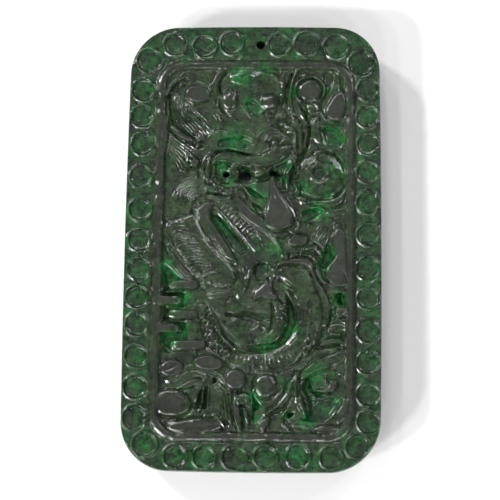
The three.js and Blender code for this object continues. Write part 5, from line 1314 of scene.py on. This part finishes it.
def jade_material():
    """Polished jade: dark green with cloudy veins, clear emerald in places, with a painted green
    glow in the hollows, painted shade where the dark attribute is high and a painted grey
    reflection on the face-level flats.
    """
    material = bpy.data.materials.new("jade")
    material.use_nodes = True
    tree = material.node_tree
    shader = tree.nodes["Principled BSDF"]
    start = Wire(tree, None)
    place = start.node("ShaderNodeTexCoord", out="Object")
    height = start.node("ShaderNodeSeparateXYZ", out="Z", Vector=place) * (1 / MM)
    clear = start.node("ShaderNodeAttribute", {"attribute_name": "clear"}, out="Fac")
    dark = start.node("ShaderNodeAttribute", {"attribute_name": "dark"}, out="Fac")

    def cloud(scale, detail=5.0, roughness=0.6):
        """Cloudy noise with so many lumps to a millimetre."""
        return start.node("ShaderNodeTexNoise", Vector=place, Scale=scale / MM, Detail=detail,
                          Roughness=roughness)

    veins = cloud(0.22)
    grain = cloud(1.3, roughness=0.7)
    specks = cloud(3.2, 3.0)
    # Painted glow: the colour turns greener the deeper the cut, in place of light showing through
    # the thin stone of the hollows.
    painted_glow_in_hollows = ((5.6 - height) * 1.2).clamped()
    edge = ((height - (FACE - 0.4)) * (1 / 0.3)).clamped()
    mottle = ((veins - 0.5) * 2.2 + (grain - 0.5) * 4.0 + 0.45).clamped()
    body = mottle.blend(OLIVE_DARK, OLIVE_PALE)
    green = ((grain - 0.5) * 4.5 + 0.45).clamped().blend(EMERALD_DARK, EMERALD_PALE)
    share = (clear * 1.15 + painted_glow_in_hollows * 0.35 + (specks - 0.56) * 2.4 * mottle).clamped()
    stone = share.blend(body, green)
    shaded_stone = start.node("ShaderNodeVectorMath", {"operation": "MULTIPLY"}, _0=stone,
                      _1=SHADE_DIMMING)
    # Painted shade: the colour is dimmed where the dark attribute is high.
    stone = dark.blend(stone, shaded_stone)
    # Painted reflection: the face-level flats, where the stone is not clear emerald, are greyed
    # towards charcoal in place of the grey reflection of the overhead light.
    painted_reflection = (edge * (1.0 - clear * 1.3).clamped()).clamped()
    reflection_grey = grain.blend(REFLECTION_GREY_DARK, REFLECTION_GREY_PALE)
    (painted_reflection * 0.7).blend(stone, reflection_grey).into(shader.inputs["Base Color"])
    (0.12 + (specks - 0.5) * 0.2).into(shader.inputs["Roughness"])
    relief = cloud(1.6, 4.0) * 0.75 + cloud(7.0, 2.0) * 0.25
    start.node("ShaderNodeBump", Strength=0.5, Distance=0.00012,
               Height=relief).into(shader.inputs["Normal"])
    shader.inputs["Subsurface Weight"].default_value = 0.6
    shader.inputs["Subsurface Radius"].default_value = (0.4, 1.0, 0.4)
    shader.inputs["Subsurface Scale"].default_value = 0.0008
    shader.inputs["IOR"].default_value = 1.66
    return material


paint_stone(plaque.data)
plaque.data.materials.clear()
plaque.data.materials.append(jade_material())
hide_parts("plaque")
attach(plaque, "root")

# --- Floor, light and camera ----------------------------------------------------------------
# The plaque lies on a white table under a soft studio light: a broad dim panel overhead,
# small bright windows low at the left and smaller strips higher up all round.

bm = bmesh.new()
bmesh.ops.create_grid(bm, x_segments=1, y_segments=1, size=1.5)
floor_mesh = bpy.data.meshes.new("table")
bm.to_mesh(floor_mesh)
bm.free()
floor = bpy.data.objects.new("table", floor_mesh)
bpy.context.collection.objects.link(floor)
paper = bpy.data.materials.new("paper")
paper.use_nodes = True
paper.node_tree.nodes["Principled BSDF"].inputs["Base Color"].default_value = (0.9, 0.9, 0.9, 1)
paper.node_tree.nodes["Principled BSDF"].inputs["Roughness"].default_value = 0.9
floor_mesh.materials.append(paper)


def lamp(name, azimuth, elevation, distance, size, brightness):
    """A rectangular soft light aimed at the plaque."""
    light = bpy.data.lights.new(name, "AREA")
    light.shape = "RECTANGLE"
    light.size, light.size_y = size
    light.energy = brightness * math.pi * size[0] * size[1]
    around, up = math.radians(azimuth), math.radians(elevation)
    out = Vector((math.cos(around) * math.cos(up), math.sin(around) * math.cos(up), math.sin(up)))
    made = bpy.data.objects.new(name, light)
    made.location = out * distance
    made.rotation_mode = "QUATERNION"
    made.rotation_quaternion = out.to_track_quat("Z", "Y")
    bpy.context.collection.objects.link(made)


LAMP_DISTANCE = 0.9
WINDOW_ELEVATION, WINDOW_SIZE, WINDOW_BRIGHTNESS = 31, (0.11, 0.055), 190.0
STRIP_ELEVATION, STRIP_SIZE, STRIP_BRIGHTNESS = 43, (0.085, 0.04), 75.0

lamp("overhead", 90, 79, LAMP_DISTANCE, (0.42, 0.42), 0.34)
for azimuth in (142, 210, 224):
    lamp(f"window_{azimuth}", azimuth, WINDOW_ELEVATION, LAMP_DISTANCE, WINDOW_SIZE,
         WINDOW_BRIGHTNESS)
for azimuth in (38, 56, 104, 124, 238, 262, 296, 322):
    lamp(f"strip_{azimuth}", azimuth, STRIP_ELEVATION, LAMP_DISTANCE, STRIP_SIZE,
         STRIP_BRIGHTNESS)

world = bpy.data.worlds.new("studio")
bpy.context.scene.world = world
world.use_nodes = True
world.node_tree.nodes["Background"].inputs["Color"].default_value = (1, 1, 1, 1)
world.node_tree.nodes["Background"].inputs["Strength"].default_value = 0.2
bpy.context.scene.view_settings.view_transform = "Standard"

CAMERA_DISTANCE = 0.23
CAMERA_TILT = 10.98
CAMERA_SIDE = 2.39
CAMERA_ROLL = 0.79
CAMERA_LENS = 106.1
CAMERA_AIM = (-0.00045, -0.00076, 0.004)
tilt, sideways = math.radians(CAMERA_TILT), math.radians(CAMERA_SIDE)
out = Vector((math.sin(sideways), -math.sin(tilt) * math.cos(sideways),
              math.cos(tilt) * math.cos(sideways)))
camera_data = bpy.data.cameras.new("camera")
camera_data.lens = CAMERA_LENS
camera_data.clip_start, camera_data.clip_end = 0.005, 10
camera = bpy.data.objects.new("camera", camera_data)
right = Vector((0, 1, 0)).cross(out).normalized()
turn = Matrix((right, out.cross(right), out)).transposed().to_4x4()
camera.matrix_world = (Matrix.Translation(Vector(CAMERA_AIM) + out * CAMERA_DISTANCE) @ turn
                       @ Matrix.Rotation(math.radians(CAMERA_ROLL), 4, "Z"))
bpy.context.collection.objects.link(camera)
bpy.context.scene.camera = camera
